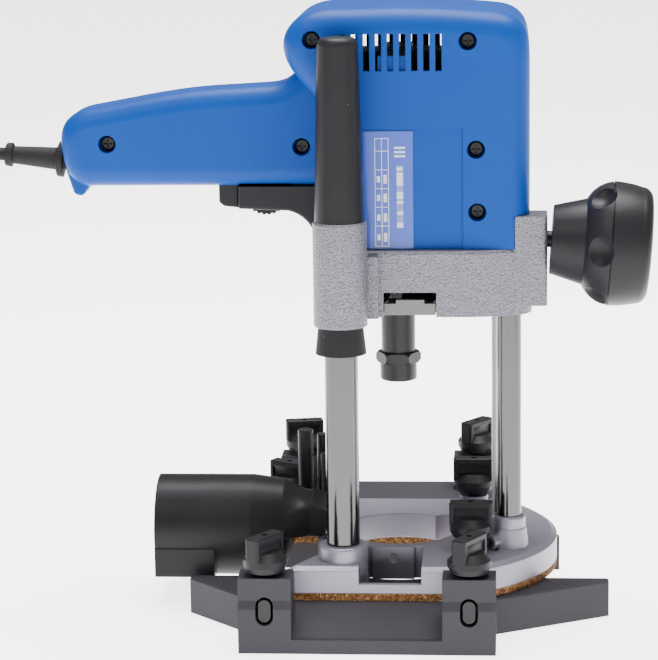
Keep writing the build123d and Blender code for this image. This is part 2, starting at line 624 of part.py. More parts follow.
def make_carriage():
    body = Pos(0, 0, CARRIAGE_BOTTOM) * extrude(carriage_plan(0), CARRIAGE_TOP - CARRIAGE_BOTTOM)
    top = body.faces().sort_by(Axis.Z)[-1]
    body = fillet(top.edges(), 1.8)
    floor = CARRIAGE_BOTTOM + CARRIAGE_FLOOR
    cavity = extrude(carriage_plan(CARRIAGE_WALL), CARRIAGE_TOP)
    body -= Pos(0, 0, floor) * cavity
    # seat of the lower bearing
    bearing_top = LOWER_BEARING_Z + LOWER_BEARING_WIDE / 2
    body += cyl(LOWER_BEARING_RADIUS + 4, CARRIAGE_BOTTOM, bearing_top)
    # sleeves round both columns
    near = cyl(NEAR_SLEEVE_RADIUS, NEAR_SLEEVE_BOTTOM, NEAR_SLEEVE_TOP, NEAR_X, NEAR_Y)
    near = fillet(near.edges().filter_by(GeomType.CIRCLE), 1.0)
    body += near
    web_left, web_right = NEAR_X - 8, NEAR_X + NEAR_SLEEVE_RADIUS + 5
    body += block(web_left, web_right, NEAR_Y + 4, CARRIAGE_FRONT + 2, CARRIAGE_BOTTOM, CARRIAGE_TOP - 2)
    body += cyl(FAR_SLEEVE_RADIUS, CARRIAGE_BOTTOM, FAR_SLEEVE_TOP, FAR_X, FAR_Y)
    lug = block(FAR_X, LUG_OUT, FAR_Y - LUG_HALF, FAR_Y + LUG_HALF, LUG_BOTTOM, LUG_TOP)
    body += fillet(lug.edges().filter_by(Axis.Z).sort_by(Axis.X)[-2:], 2.0)
    rod_tube = cyl(ROD_R + 2.5, CARRIAGE_BOTTOM, CARRIAGE_TOP - 4, SCALE_ROD_X, SCALE_ROD_Y)
    body += rod_tube
    # bores
    bore_top = FAR_SLEEVE_TOP + 1
    body -= cyl(NEAR_R + BUSH_WALL, NEAR_SLEEVE_BOTTOM - 1, bore_top, NEAR_X, NEAR_Y)
    body -= cyl(FAR_R + BUSH_WALL, CARRIAGE_BOTTOM - 1, bore_top, FAR_X, FAR_Y)
    body -= cyl(ROD_R + CLEAR, CARRIAGE_BOTTOM - 1, bore_top, SCALE_ROD_X, SCALE_ROD_Y)
    body -= cyl(COLLAR_RADIUS + 0.8, CARRIAGE_BOTTOM - 1, bore_top)
    bearing_low = LOWER_BEARING_Z - LOWER_BEARING_WIDE / 2
    body -= cyl(LOWER_BEARING_RADIUS, bearing_low, bore_top)
    # notch for the spindle lock, open at the bottom
    body -= block(WINDOW_LEFT, WINDOW_RIGHT, CARRIAGE_FRONT - 3, CARRIAGE_FRONT + 12,
                  CARRIAGE_BOTTOM - 1, WINDOW_TOP)
    body -= block(LOCK_LEFT, LOCK_RIGHT, CARRIAGE_FRONT + 2, -COLLAR_RADIUS, CARRIAGE_BOTTOM - 1,
                  LOCK_TOP + CLEAR)
    # pocket for the plate's spring
    reach = 2.2
    body -= block(LOCK_SPRING_X - reach, LOCK_SPRING_X + reach, -COLLAR_RADIUS - 1, -4.0,
                  CARRIAGE_BOTTOM - 1, LOCK_TOP + CLEAR)
    # threaded hole for the clamping knob
    body -= rod(tuple(stud_point(-22)), tuple(stud_point(4)), STUD_RADIUS + 0.1)
    return largest(body)


LOCK_LEFT, LOCK_RIGHT = -3.0, 18.4
LOCK_TOP = 158.4
LOCK_BOTTOM = 152.8
LOCK_SPRING_X = 10.0


def stud_point(along):
    """A point on the clamping knob's axis, measured outwards from its inner end."""
    return Vector(KNOB_INNER_X, FAR_Y, KNOB_AXIS_Z) + KNOB_DIR * along


def make_near_bushes():
    x, y = NEAR_X, NEAR_Y
    outer, inner = NEAR_R + BUSH_WALL, NEAR_R + RUNNING_CLEARANCE
    lower = ring(outer, inner, NEAR_SLEEVE_BOTTOM + 0.5, NEAR_SLEEVE_BOTTOM + 16, x, y)
    upper = ring(outer, inner, NEAR_SLEEVE_TOP - 18, NEAR_SLEEVE_TOP - 0.5, x, y)
    return [lower, upper]


def make_far_bush():
    outer, inner = FAR_R + BUSH_WALL, FAR_R + RUNNING_CLEARANCE
    bush = ring(outer, inner, CARRIAGE_BOTTOM + 0.5, FAR_SLEEVE_TOP - 0.5, FAR_X, FAR_Y)
    return bush - rod(tuple(stud_point(-22)), tuple(stud_point(4)), STUD_RADIUS + 0.1)


def make_gaiter():
    high = NEAR_SLEEVE_BOTTOM
    outer = cone(GAITER_RADIUS + 0.6, GAITER_RADIUS - 0.8, GAITER_BOTTOM, high, NEAR_X, NEAR_Y)
    return outer - cyl(NEAR_R + 0.5, GAITER_BOTTOM - 1, high + 1, NEAR_X, NEAR_Y)


def make_spring_cap():
    low = NEAR_SLEEVE_TOP
    dome = 4.0
    cap = cone(CAP_RADIUS, CAP_TOP_RADIUS, low, CAP_TOP)
    cap = fillet(cap.edges().sort_by(Axis.Z)[-1], dome)
    cap -= cyl(CAP_BORE, low - 1, low + PLUNGE + 1)
    cap -= cyl(SPRING_RADIUS + SPRING_WIRE / 2 + 0.7, low, CAP_TOP - 4.5)
    return Pos(NEAR_X, NEAR_Y, 0) * cap


def make_column_spring():
    low, high = NEAR_COLUMN_TOP + SPRING_WIRE, CAP_TOP - 4.6 - SPRING_WIRE
    pitch = (high - low) / SPRING_TURNS
    path = Pos(NEAR_X, NEAR_Y, low) * Helix(pitch, high - low, SPRING_RADIUS)
    start = path @ 0
    section = Plane(origin=start, z_dir=path % 0) * Circle(SPRING_WIRE / 2)
    return sweep(section, path=path, is_frenet=True)


# ---------------------------------------------------------------- housing
# the body's outline above the straight sides, from right to left over the top
BODY_CROWN = (
    (HOUSING_RIGHT, HOUSING_TOP - 27.0),
    (HOUSING_RIGHT - 0.7, HOUSING_TOP - 16.0),
    (HOUSING_RIGHT - 3.4, HOUSING_TOP - 8.8),
    (HOUSING_RIGHT - 8.6, HOUSING_TOP - 4.4),
    (HOUSING_RIGHT - 19.0, HOUSING_TOP - 2.1),
    (HOUSING_RIGHT - 38.0, HOUSING_TOP - 0.7),
    (HOUSING_LEFT + 38.0, HOUSING_TOP),
    (HOUSING_LEFT + 12.0, HOUSING_TOP - 0.4),
    (HOUSING_LEFT - 2.0, HOUSING_TOP - 1.6),
    (HOUSING_LEFT - 11.2, HOUSING_TOP - 6.4),
    (HOUSING_LEFT - 16.2, HOUSING_TOP - 15.5),
    (HOUSING_LEFT - 14.8, HOUSING_TOP - 25.0),
    (HOUSING_LEFT - 9.0, HOUSING_TOP - 34.0),
    (HOUSING_LEFT, HOUSING_TOP - 44.0),
)
# the handle's outline from its root over the top to the lower corner of its end
HANDLE_CROWN = (
    (HOUSING_LEFT - 10.8, HANDLE_TOP + 10.7),
    (HOUSING_LEFT - 13.8, HANDLE_TOP + 4.7),
    (HOUSING_LEFT - 19.0, HANDLE_TOP + 1.1),
    (HOUSING_LEFT - 28.0, HANDLE_TOP - 0.4),
    (HANDLE_END + 84.5, HANDLE_TOP - 1.3),
    (HANDLE_END + 67.5, HANDLE_TOP - 2.4),
    (HANDLE_END + 52.5, HANDLE_TOP - 4.3),
    (HANDLE_END + 36.5, HANDLE_TOP - 7.0),
    (HANDLE_END + 18.5, HANDLE_TOP - 10.3),
    (HANDLE_END + 9.0, HANDLE_TOP - 12.7),
    (HANDLE_END + 3.0, HANDLE_TOP - 17.1),
    (HANDLE_END + 0.1, HANDLE_TOP - 24.3),
    (HANDLE_END + 0.7, HANDLE_BOTTOM + 15.0),
    (HANDLE_END + 2.7, HANDLE_BOTTOM + 7.5),
    (HANDLE_END + 7.5, HANDLE_BOTTOM + 2.0),
    (HANDLE_END + 16.5, HANDLE_BOTTOM),
)
CORE_STEP = 4.5             # depth of the step round the inside of both shells
HANDLE_ROOT = -30.0         # the handle's outline runs on into the body to here


def outline_face(crown, corners):
    """A smooth line closed by straight ones, as a face that stands along X and Z."""
    edges = [Spline(*crown), Polyline(crown[-1], *corners, crown[0])]
    return make_face(edges)


def drawn_in(crown, amount):
    """Moves each point of an anticlockwise line inwards, square to the line there."""
    points = [Vector(*point) for point in crown]
    moved = []
    for index, point in enumerate(points):
        before = points[max(index - 1, 0)]
        after = points[min(index + 1, len(points) - 1)]
        along = (after - before).normalized()
        moved.append((point.X - along.Y * amount, point.Y + along.X * amount))
    return moved


def thicken(face, half):
    """Extrudes an outline both ways from the middle."""
    at = Plane(origin=(0, half, 0), x_dir=(1, 0, 0), z_dir=(0, -1, 0))
    return extrude(at * face, 2 * half)


def rounded(solid, half, radius, is_round):
    rims = solid.edges().filter_by(lambda e: abs(abs(e.center().Y) - half) < 0.01)
    return fillet(rims.filter_by(is_round), radius)


def body_face(inset):
    low = CARRIAGE_TOP
    corners = [(HOUSING_LEFT + inset, low), (HOUSING_RIGHT - inset, low)]
    return outline_face(drawn_in(BODY_CROWN, inset), corners)


def handle_face(inset):
    top = HANDLE_CROWN[0][1]
    corners = [(HANDLE_ROOT, HANDLE_BOTTOM + inset), (HANDLE_ROOT, top - inset)]
    return outline_face(drawn_in(HANDLE_CROWN, inset), corners)


def housing_outer():
    def on_body(edge):
        return edge.center().X > HOUSING_LEFT + 10 and edge.center().Z > CARRIAGE_TOP + 8

    def on_handle(edge):
        return edge.center().X < HOUSING_LEFT - 14

    body = rounded(thicken(body_face(0), HOUSING_HALF), HOUSING_HALF, BODY_ROUND, on_body)
    handle = rounded(thicken(handle_face(0), HANDLE_HALF), HANDLE_HALF, HANDLE_ROUND, on_handle)
    return body, handle


def housing_inner(inset):
    """The space inside, in two steps so that it follows the rounded rims."""
    body = thicken(body_face(inset), HOUSING_HALF - inset - CORE_STEP)
    body += thicken(body_face(inset + CORE_STEP), HOUSING_HALF - inset)
    return body


def handle_inner(inset):
    handle = thicken(handle_face(inset), HANDLE_HALF - inset - CORE_STEP)
    return handle + thicken(handle_face(inset + CORE_STEP), HANDLE_HALF - inset)


def make_housing():
    """Outer form less its hollow, then cut into the two shells."""
    hollow = housing_inner(HOUSING_WALL) + handle_inner(HOUSING_WALL)
    hollow += block(HOUSING_LEFT + 3, HOUSING_RIGHT - 3, -38, 38, CARRIAGE_TOP - 2, CARRIAGE_TOP + 12)
    body, handle = housing_outer()
    body += handle
    # finger stop under the back end of the handle
    hook = [
        (HANDLE_END + 1.5, HANDLE_BOTTOM + 8),
        (HANDLE_END + 5.5, HANDLE_BOTTOM - 4.5),
        (HANDLE_END + 9.5, HANDLE_BOTTOM - 5.5),
        (HANDLE_END + 14.0, HANDLE_BOTTOM + 0.5),
        (HANDLE_END + 14.0, HANDLE_BOTTOM + 8),
    ]
    tip = side_prism(hook, [1.0, 2.4, 2.0, 3.0, 1.0], -9, 9)
    body += fillet(tip.edges().filter_by(lambda e: abs(abs(e.center().Y) - 9) < 0.01), 1.5)
    body -= hollow
    # pillars that the screws run through
    for x, z, front in HOUSING_SCREWS:
        body += rod((x, -front + 1, z), (x, front - 1, z), SCREW_HOLE + 1.6) & solid_envelope(front)
    for x, z, front in HOUSING_SCREWS:
        body -= rod((x, -front - 1, z), (x, -front + SCREW_DEPTH, z), SCREW_HOLE)
        body -= rod((x, -front, z), (x, front - 4, z), 1.8)
    # cooling slots at the front and the back
    for index in range(VENT_COUNT):
        x = VENT_RIGHT - index * VENT_PITCH
        slot = block(x - VENT_WIDE / 2, x + VENT_WIDE / 2, -60, 60, VENT_BOTTOM, VENT_TOP)
        body -= slot - block(-60, 60, -25, 25, VENT_BOTTOM - 1, VENT_TOP + 1)
    # panel for the rating label
    body -= block(PANEL_LEFT, PANEL_RIGHT, -60, -HOUSING_HALF + PANEL_DEPTH, 150, PANEL_TOP)
    # seat of the upper bearing, on a shelf across the shells
    bearing_low = UPPER_BEARING_Z - UPPER_BEARING_WIDE / 2
    bearing_high = UPPER_BEARING_Z + UPPER_BEARING_WIDE / 2
    shelf = block(-34, 34, -39, 39, bearing_low - 2, bearing_high + 2)
    shelf -= block(-60, 60, -60, -16, 100, 400) + block(-60, 60, 16, 60, 100, 400)
    shelf += block(-7, 7, -39, 39, bearing_low - 2, bearing_high + 2)
    body += shelf & housing_inner(1.0)
    body -= cyl(UPPER_BEARING_RADIUS, bearing_low, bearing_high)
    body -= cyl(8.0, bearing_low - 4, bearing_high + 4)
    # openings for the trigger, the wheel, the boot, the far sleeve and its lug
    body -= block(TRIGGER_LEFT - CLEAR, TRIGGER_RIGHT + CLEAR, -TRIGGER_HALF - CLEAR,
                  TRIGGER_HALF + CLEAR, 190, HANDLE_BOTTOM + 12)
    body -= block(SURROUND_LEFT, -50.0, -13, 13, 190, HANDLE_BOTTOM + 9.5)
    body -= rod(boot_point(-2), boot_point(30), BOOT_RADIUS + CLEAR)
    body -= cyl(FAR_SLEEVE_RADIUS + CLEAR, CARRIAGE_TOP - 3, FAR_SLEEVE_TOP + CLEAR, FAR_X, FAR_Y)
    body -= block(FAR_X, LUG_OUT + 2, FAR_Y - LUG_HALF - CLEAR, FAR_Y + LUG_HALF + CLEAR,
                  CARRIAGE_TOP - 3, LUG_TOP + CLEAR)
    body -= cyl(FAR_R + 1.2, CARRIAGE_TOP - 3, FAR_COLUMN_TOP + PLUNGE + 3, FAR_X, FAR_Y)
    body -= cyl(ROD_R + 1.2, CARRIAGE_TOP - 3, SCALE_ROD_TOP + PLUNGE + 3, SCALE_ROD_X, SCALE_ROD_Y)
    front = largest(body & block(-300, 300, -100, -0.02, 0, 400))
    rear = largest(body & block(-300, 300, 0.02, 100, 0, 400))
    return front, rear


def solid_envelope(front):
    return housing_inner(0.6) if front == HOUSING_HALF else handle_inner(0.6)


def make_housing_screws():
    screws = []
    for x, z, front in HOUSING_SCREWS:
        seat = -front + SCREW_DEPTH
        head = rod((x, seat - 2.4, z), (x, seat, z), 3.4)
        head = fillet(head.edges().sort_by(Axis.Y)[0], 0.8)
        screw = head + rod((x, seat - 0.5, z), (x, seat + 16, z), 1.75)
        screw -= block(x - 2.0, x + 2.0, seat - 4, seat - 1.2, z - 0.45, z + 0.45)
        screw -= block(x - 0.45, x + 0.45, seat - 4, seat - 1.2, z - 2.0, z + 2.0)
        screws.append(screw)
    return screws


def make_label():
    y = -HOUSING_HALF + PANEL_DEPTH
    return block(PANEL_LEFT + 0.2, LABEL_RIGHT, y - 0.4, y, CARRIAGE_TOP + 0.5, PANEL_TOP - 1.5)


# ---------------------------------------------------------------- motor
def make_stator_core():
    core = ring(STATOR_RADIUS, ARMATURE_RADIUS + AIR_GAP, ARMATURE_LOW, ARMATURE_HIGH)
    for side in (-1, 1):
        core -= cyl(8.5, ARMATURE_LOW - 1, ARMATURE_HIGH + 1, side * 24.0, 0)
        flat = STATOR_RADIUS - 2
        core -= block(-60, 60, min(side * flat, side * 60), max(side * flat, side * 60), 190, 260)
    return core


def make_stator_coils():
    """The two field windings, their ends bulging past the core."""
    coils = []
    for side in (-1, 1):
        coil = cyl(8.3, ARMATURE_LOW - 5, ARMATURE_HIGH + 4, side * 24.0, 0)
        coil = coil - cyl(ARMATURE_RADIUS + AIR_GAP, 150, 300)
        coils.append(fillet(coil.edges().filter_by(GeomType.CIRCLE).sort_by(Axis.Z)[-1], 1.5))
    return coils


def make_armature():
    core = ring(ARMATURE_RADIUS, SHAFT_RADIUS, ARMATURE_LOW, ARMATURE_HIGH)
    slots = 12
    for index in range(slots):
        angle = index * 360 / slots
        cut = block(ARMATURE_RADIUS - 5, ARMATURE_RADIUS + 1, -1.1, 1.1, 200, 245)
        core -= Rot(0, 0, angle) * cut
    return core


def make_commutator():
    drum = ring(COMMUTATOR_RADIUS, SHAFT_RADIUS, COMMUTATOR_LOW, COMMUTATOR_HIGH)
    bars = 24
    for index in range(bars):
        cut = block(COMMUTATOR_RADIUS - 0.9, COMMUTATOR_RADIUS + 1, -0.3, 0.3,
                    COMMUTATOR_LOW + 1, COMMUTATOR_HIGH + 1)
        drum -= Rot(0, 0, index * 360 / bars) * cut
    return drum


def make_fan():
    disc = ring(FAN_RADIUS, SHAFT_RADIUS, FAN_Z - 1, FAN_Z + 1)
    disc += ring(SHAFT_RADIUS + 4, SHAFT_RADIUS, FAN_Z - 3, FAN_Z + 9)
    blades = 9
    for index in range(blades):
        blade = block(SHAFT_RADIUS + 3, FAN_RADIUS - 1, -0.9, 0.9, FAN_Z + 0.5, FAN_Z + 9)
        disc += Rot(0, 0, index * 360 / blades) * blade
    return disc


def bearing_outer(radius, z, wide):
    return ring(radius, radius - 3, z - wide / 2, z + wide / 2)


def make_shaft():
    bearing_high = LOWER_BEARING_Z + LOWER_BEARING_WIDE / 2
    inner = LOWER_BEARING_RADIUS - 3 - CLEAR
    shaft = cyl(SHAFT_RADIUS, COLLAR_BOTTOM - 2, COMMUTATOR_HIGH + 4)
    shaft += cyl(COLLAR_RADIUS, COLLAR_BOTTOM, bearing_high - LOWER_BEARING_WIDE + 0.1)
    shaft += cyl(inner, bearing_high - LOWER_BEARING_WIDE, bearing_high)
    upper_low = UPPER_BEARING_Z - UPPER_BEARING_WIDE / 2
    shaft += cyl(4.0, COMMUTATOR_HIGH, UPPER_BEARING_Z + UPPER_BEARING_WIDE / 2 + 2)
    shaft += cyl(UPPER_BEARING_RADIUS - 3 - CLEAR, upper_low, upper_low + UPPER_BEARING_WIDE)
    # taper for the collet
    shaft -= cone(5.2, 4.4, COLLAR_BOTTOM - 3, COLLAR_BOTTOM + 16)
    # flats for the lock plate
    for side in (-1, 1):
        far = side * (COLLAR_RADIUS + 4)
        near = side * (COLLAR_RADIUS - 1.2)
        shaft -= block(-20, 20, min(near, far), max(near, far), LOCK_BOTTOM - 1, LOCK_TOP - 0.4)
    return largest(shaft)


def make_collet():
    top, bottom = COLLAR_BOTTOM + 14, NUT_BOTTOM + 3
    collet = cone(5.1, 4.4, COLLAR_BOTTOM - 2.9, top)
    collet += cyl(5.1, bottom, COLLAR_BOTTOM - 2.8)
    collet -= cyl(COLLET_BORE / 2, bottom - 1, top + 1)
    for index in range(3):
        cut = block(COLLET_BORE / 2 - 1, 6, -0.35, 0.35, bottom - 1, top - 6)
        collet -= Rot(0, 0, index * 120) * cut
    return collet


def make_collet_nut():
    nut = cyl(NUT_RADIUS, NUT_BOTTOM, HEX_BOTTOM + 0.5)
    nut = fillet(nut.edges().sort_by(Axis.Z)[0], 1.2)
    hexagon = extrude(RegularPolygon(HEX_ACROSS / 2, 6, major_radius=False), COLLAR_BOTTOM - HEX_BOTTOM)
    hexagon = Pos(0, 0, HEX_BOTTOM) * hexagon
    half = HEX_ACROSS / 2
    bevel = cone(half + 0.4, half + 2.2, HEX_BOTTOM, HEX_BOTTOM + 2.2)
    bevel += cone(half + 2.2, half + 0.4, COLLAR_BOTTOM - 2.2, COLLAR_BOTTOM)
    bevel += cyl(half + 2.2, HEX_BOTTOM + 2.2, COLLAR_BOTTOM - 2.2)
    nut += hexagon & bevel
    nut -= cyl(5.1, NUT_BOTTOM - 1, COLLAR_BOTTOM + 1)
    nut -= cyl(SHAFT_RADIUS, COLLAR_BOTTOM - 2, COLLAR_BOTTOM + 1)
    return nut


BRUSH_Z = (COMMUTATOR_LOW + COMMUTATOR_HIGH) / 2


def make_brush_holders():
    holders = []
    for side in (-1, 1):
        y0, y1 = side * (COMMUTATOR_RADIUS + 1.2), side * 33.0
        holder = block(-4.5, 4.5, min(y0, y1), max(y0, y1), BRUSH_Z - 5.5, BRUSH_Z + 5.5)
        holder -= block(-3.1, 3.1, -60, 60, BRUSH_Z - 4.1, BRUSH_Z + 4.1)
        holders.append(holder)
    return holders


def make_brushes():
    brushes = []
    for side in (-1, 1):
        y0, y1 = side * (COMMUTATOR_RADIUS + 0.2), side * 27.0
        brushes.append(block(-3.1, 3.1, min(y0, y1), max(y0, y1), BRUSH_Z - 4.1, BRUSH_Z + 4.1))
    return brushes


# ---------------------------------------------------------------- controls
def make_trigger():
    left, right = TRIGGER_LEFT, TRIGGER_RIGHT
    outline = [
        (left, HANDLE_BOTTOM + 6),
        (left, TRIGGER_BOTTOM + 2),
        (left + 2.4, TRIGGER_BOTTOM),
        (right, TRIGGER_BOTTOM - 0.8),
        (right, HANDLE_BOTTOM + 6),
    ]
    body = side_prism(outline, [0.5, 1.5, 1.5, 0.8, 0.5], -TRIGGER_HALF, TRIGGER_HALF)
    rims = body.edges().filter_by(lambda e: abs(abs(e.center().Y) - TRIGGER_HALF) < 0.01)
    rims = rims.filter_by(lambda e: e.center().Z < HANDLE_BOTTOM)
    body = fillet(rims, 1.0)
    return body - cyl(2.6, HANDLE_BOTTOM + 2, HANDLE_BOTTOM + 8, (left + right) / 2, 0)


def make_trigger_spring():
    x = (TRIGGER_LEFT + TRIGGER_RIGHT) / 2
    low, high = HANDLE_BOTTOM + 2.6, SWITCH_BOTTOM - 0.5
    path = Pos(x, 0, low) * Helix((high - low) / 5, high - low, 1.7)
    section = Plane(origin=path @ 0, z_dir=path % 0) * Circle(0.35)
    return sweep(section, path=path, is_frenet=True)


SWITCH_BOTTOM = HANDLE_BOTTOM + 14.0


def make_switch():
    body = block(TRIGGER_LEFT - 12, TRIGGER_RIGHT + 12, -11, 11, SWITCH_BOTTOM, SWITCH_BOTTOM + 18)
    return fillet(body.edges().filter_by(Axis.Y), 1.5)


def make_speed_board():
    x0, x1 = TRIGGER_LEFT - 40, TRIGGER_LEFT - 16
    board = block(x0, x1, -10, 10, SWITCH_BOTTOM + 4, SWITCH_BOTTOM + 5.6)
    board += block(x0 + 3, x0 + 9, -6, 6, SWITCH_BOTTOM + 5.5, SWITCH_BOTTOM + 14)
    board += cyl(4, SWITCH_BOTTOM + 5.5, SWITCH_BOTTOM + 15, x0 + 16, 0)
    return board


def make_surround():
    """The black block under the handle, with a cheek on each side of the wheel."""
    low = TRIGGER_BOTTOM - 1.4
    left, right = SURROUND_LEFT, SURROUND_RIGHT
    line = Polyline(
        (right, CARRIAGE_TOP + 0.5),
        (right, HANDLE_BOTTOM - 0.1),
        (left, HANDLE_BOTTOM - 0.1),
        (left, low + 0.8),
        (-53.0, low - 0.2),
    )
    curve = ThreePointArc((-53.0, low - 0.2), (-43.8, low - 5.5), (-39.4, CARRIAGE_TOP + 0.5))
    close = Line((-39.4, CARRIAGE_TOP + 0.5), (right, CARRIAGE_TOP + 0.5))
    at = Plane(origin=(0, 14.5, 0), x_dir=(1, 0, 0), z_dir=(0, -1, 0))
    body = extrude(at * make_face([line, curve, close]), 29.0)
    rims = body.edges().filter_by(lambda e: abs(abs(e.center().Y) - 14.5) < 0.01)
    rims = rims.filter_by(lambda e: e.center().Z < HANDLE_BOTTOM - 1 and e.center().X < -39)
    body = fillet(rims, 1.6)
    half = WHEEL_WIDE / 2 + CLEAR
    body -= rod((WHEEL_X, -half, WHEEL_Z), (WHEEL_X, half, WHEEL_Z), WHEEL_RADIUS + 0.7)
    body -= rod((WHEEL_X, -8.0, WHEEL_Z), (WHEEL_X, 8.0, WHEEL_Z), 2.0)
    return body


def make_speed_wheel():
    half = WHEEL_WIDE / 2
    wheel = rod((WHEEL_X, -half, WHEEL_Z), (WHEEL_X, half, WHEEL_Z), WHEEL_RADIUS)
    wheel += rod((WHEEL_X, -7.5, WHEEL_Z), (WHEEL_X, 7.5, WHEEL_Z), 1.95)
    ridges = 28
    for index in range(ridges):
        angle = math.radians(index * 360 / ridges)
        x = WHEEL_X + WHEEL_RADIUS * math.cos(angle)
        z = WHEEL_Z + WHEEL_RADIUS * math.sin(angle)
        wheel -= rod((x, -half - 1, z), (x, half + 1, z), 0.65)
    return wheel


def knob_place():
    return Plane(origin=stud_point(0), x_dir=(0, 1, 0), z_dir=KNOB_DIR)


def make_lock_knob():
    """Turned head: a tapered neck, a scalloped bell, then a smooth rim."""
    neck_end, bell_end, rim_start = 15.6, 27.6, 28.2
    profile = [
        Line((0, 0), (KNOB_NECK_RADIUS, 0)),
        Line((KNOB_NECK_RADIUS, 0), (KNOB_SHOULDER_RADIUS, neck_end)),
        ThreePointArc((KNOB_SHOULDER_RADIUS, neck_end), (26.6, 20.4), (KNOB_RADIUS - 0.3, bell_end)),
        Line((KNOB_RADIUS - 0.3, bell_end), (KNOB_RADIUS - 0.9, bell_end)),
        Line((KNOB_RADIUS - 0.9, bell_end), (KNOB_RADIUS - 0.9, rim_start)),
        Line((KNOB_RADIUS - 0.9, rim_start), (KNOB_RADIUS, rim_start)),
        ThreePointArc((KNOB_RADIUS, rim_start), (29.3, 36.0), (28.0, KNOB_LENGTH - 5)),
        ThreePointArc((28.0, KNOB_LENGTH - 5), (26.4, 45.4), (22.8, KNOB_LENGTH)),
        Line((22.8, KNOB_LENGTH), (0, KNOB_LENGTH + 0.6)),
        Line((0, KNOB_LENGTH + 0.6), (0, 0)),
    ]
    flat = make_face(profile)
    head = revolve(Plane.XZ * flat, Axis.Z)
    dents = 6
    for index in range(dents):
        angle = math.radians(index * 360 / dents)
        place = (DENT_CIRCLE * math.cos(angle), DENT_CIRCLE * math.sin(angle), DENT_ALONG)
        head -= Pos(*place) * Sphere(DENT_RADIUS)
    head -= cyl(STUD_RADIUS, -1, 20)
    return knob_place() * head


def make_lock_stud():
    reach = (KNOB_INNER_X - FAR_X) / math.cos(DROOP) - FAR_R - 0.35
    stud = cyl(STUD_RADIUS, -reach, 19.9)
    return knob_place() * stud


def make_lock_plate():
    """Slides in to grip the flats of the spindle; the raised tab is the button."""
    front = CARRIAGE_FRONT + 1.0
    tab_left, tab_right = 1.0, 14.6
    back = -COLLAR_RADIUS - 5.0
    tongue = block(LOCK_LEFT + CLEAR, LOCK_RIGHT - CLEAR, front, back, LOCK_BOTTOM, LOCK_TOP)
    tongue += block(tab_left, tab_right, front, front + 3, LOCK_TOP - 0.5, LOCK_TOP + 1.8)
    left, right = WINDOW_LEFT + CLEAR, WINDOW_RIGHT - CLEAR
    tongue += block(left, right, front, front + 1.6, LOCK_BOTTOM, LOCK_TOP)
    tongue -= block(-4, 3.0, -30, -COLLAR_RADIUS - 3, LOCK_BOTTOM - 1, LOCK_TOP + 1)
    return largest(tongue)


def make_lock_spring():
    x, z = LOCK_SPRING_X, (LOCK_BOTTOM + LOCK_TOP) / 2
    start, end = -COLLAR_RADIUS - 4.7, -COLLAR_RADIUS - 0.3
    turns = Helix((end - start) / 4, end - start, 1.6)
    path = Plane(origin=(x, start, z), x_dir=(1, 0, 0), z_dir=(0, 1, 0)) * turns
    section = Plane(origin=path @ 0, z_dir=path % 0) * Circle(0.3)
    return sweep(section, path=path, is_frenet=True)


# ---------------------------------------------------------------- mains lead
BOOT_START = HANDLE_END + 14.0
BOOT_START_Z = EXIT_Z - 4.0
BOOT_RADIUS = 5.2


def boot_point(along):
    """A point on the boot's axis, measured from its end inside the handle."""
    start, end = Vector(BOOT_START, 0, BOOT_START_Z), Vector(BOOT_TIP, 0, EXIT_Z)
    return tuple(start + (end - start).normalized() * along)


def make_cord_boot():
    """Flange at the handle, a tapered sleeve, and a collar at the tip."""
    start = Vector(BOOT_START, 0, BOOT_START_Z)
    end = Vector(BOOT_TIP, 0, EXIT_Z)
    run = end - start
    flange_at = (start.X - HANDLE_END) + 1.0
    length = run.length
    line = [
        (0, 0),
        (BOOT_RADIUS, 0),
        (BOOT_RADIUS, flange_at - 0.6),
        (9.0, flange_at - 0.6),
        (8.6, flange_at + 2.2),
        (5.6, flange_at + 3.4),
        (4.4, length - 4.2),
        (6.0, length - 3.4),
        (5.8, length - 0.6),
        (5.2, length),
        (0, length),
    ]
    body = revolve(Plane.XZ * make_face(Polyline(*line, close=True)), Axis.Z)
    body -= cyl(CORD_R, length - 10, length + 1)
    return Plane(origin=start, x_dir=(0, 1, 0), z_dir=run) * body


def make_cord_clamp():
    x = BOOT_START + 5.5
    z = BOOT_START_Z
    clamp = block(x - 3, x + 3, -9.6, 9.6, z - 5.5, z - 2.0)
    clamp += block(x - 3, x + 3, -9.6, -6.6, z - 5.5, z + 2)
    clamp += block(x - 3, x + 3, 6.6, 9.6, z - 5.5, z + 2)
    return clamp


CORD_REST = CORD_R + FLOOR_REST
# the lead leaves the boot, hangs down beside the handle and runs back to its coil
CORD_ROUTE = (
    (-194.05, 0.0, 225.6),
    (-216.0, 0.0, 227.2),
    (-238.0, 1.0, 220.5),
    (-253.0, 3.0, 202.0),
    (-258.0, 7.0, 168.0),
    (-256.0, 11.0, 118.0),
    (-254.5, 16.0, 68.0),
    (-253.0, 27.0, 34.0),
    (-253.5, 45.0, 12.0),
    (-255.0, 70.0, CORD_REST),
    (-254.5, 88.0, CORD_REST),
)
COIL_X = -254.0 - COIL_TURN_DIA / 2 - CORD_DIA * 0.7
COIL_Y = 104.0


def cord_radii():
    """Each bend's radius: 0.45 of the shorter run over the tangent of half the turn."""
    points = [Vector(*point) for point in CORD_ROUTE]
    radii = []
    for before, corner, after in zip(points, points[1:], points[2:]):
        into, out = corner - before, after - corner
        half_turn = math.radians(into.get_angle(out)) / 2
        radii.append(0.45 * min(into.length, out.length) / math.tan(half_turn))
    return radii


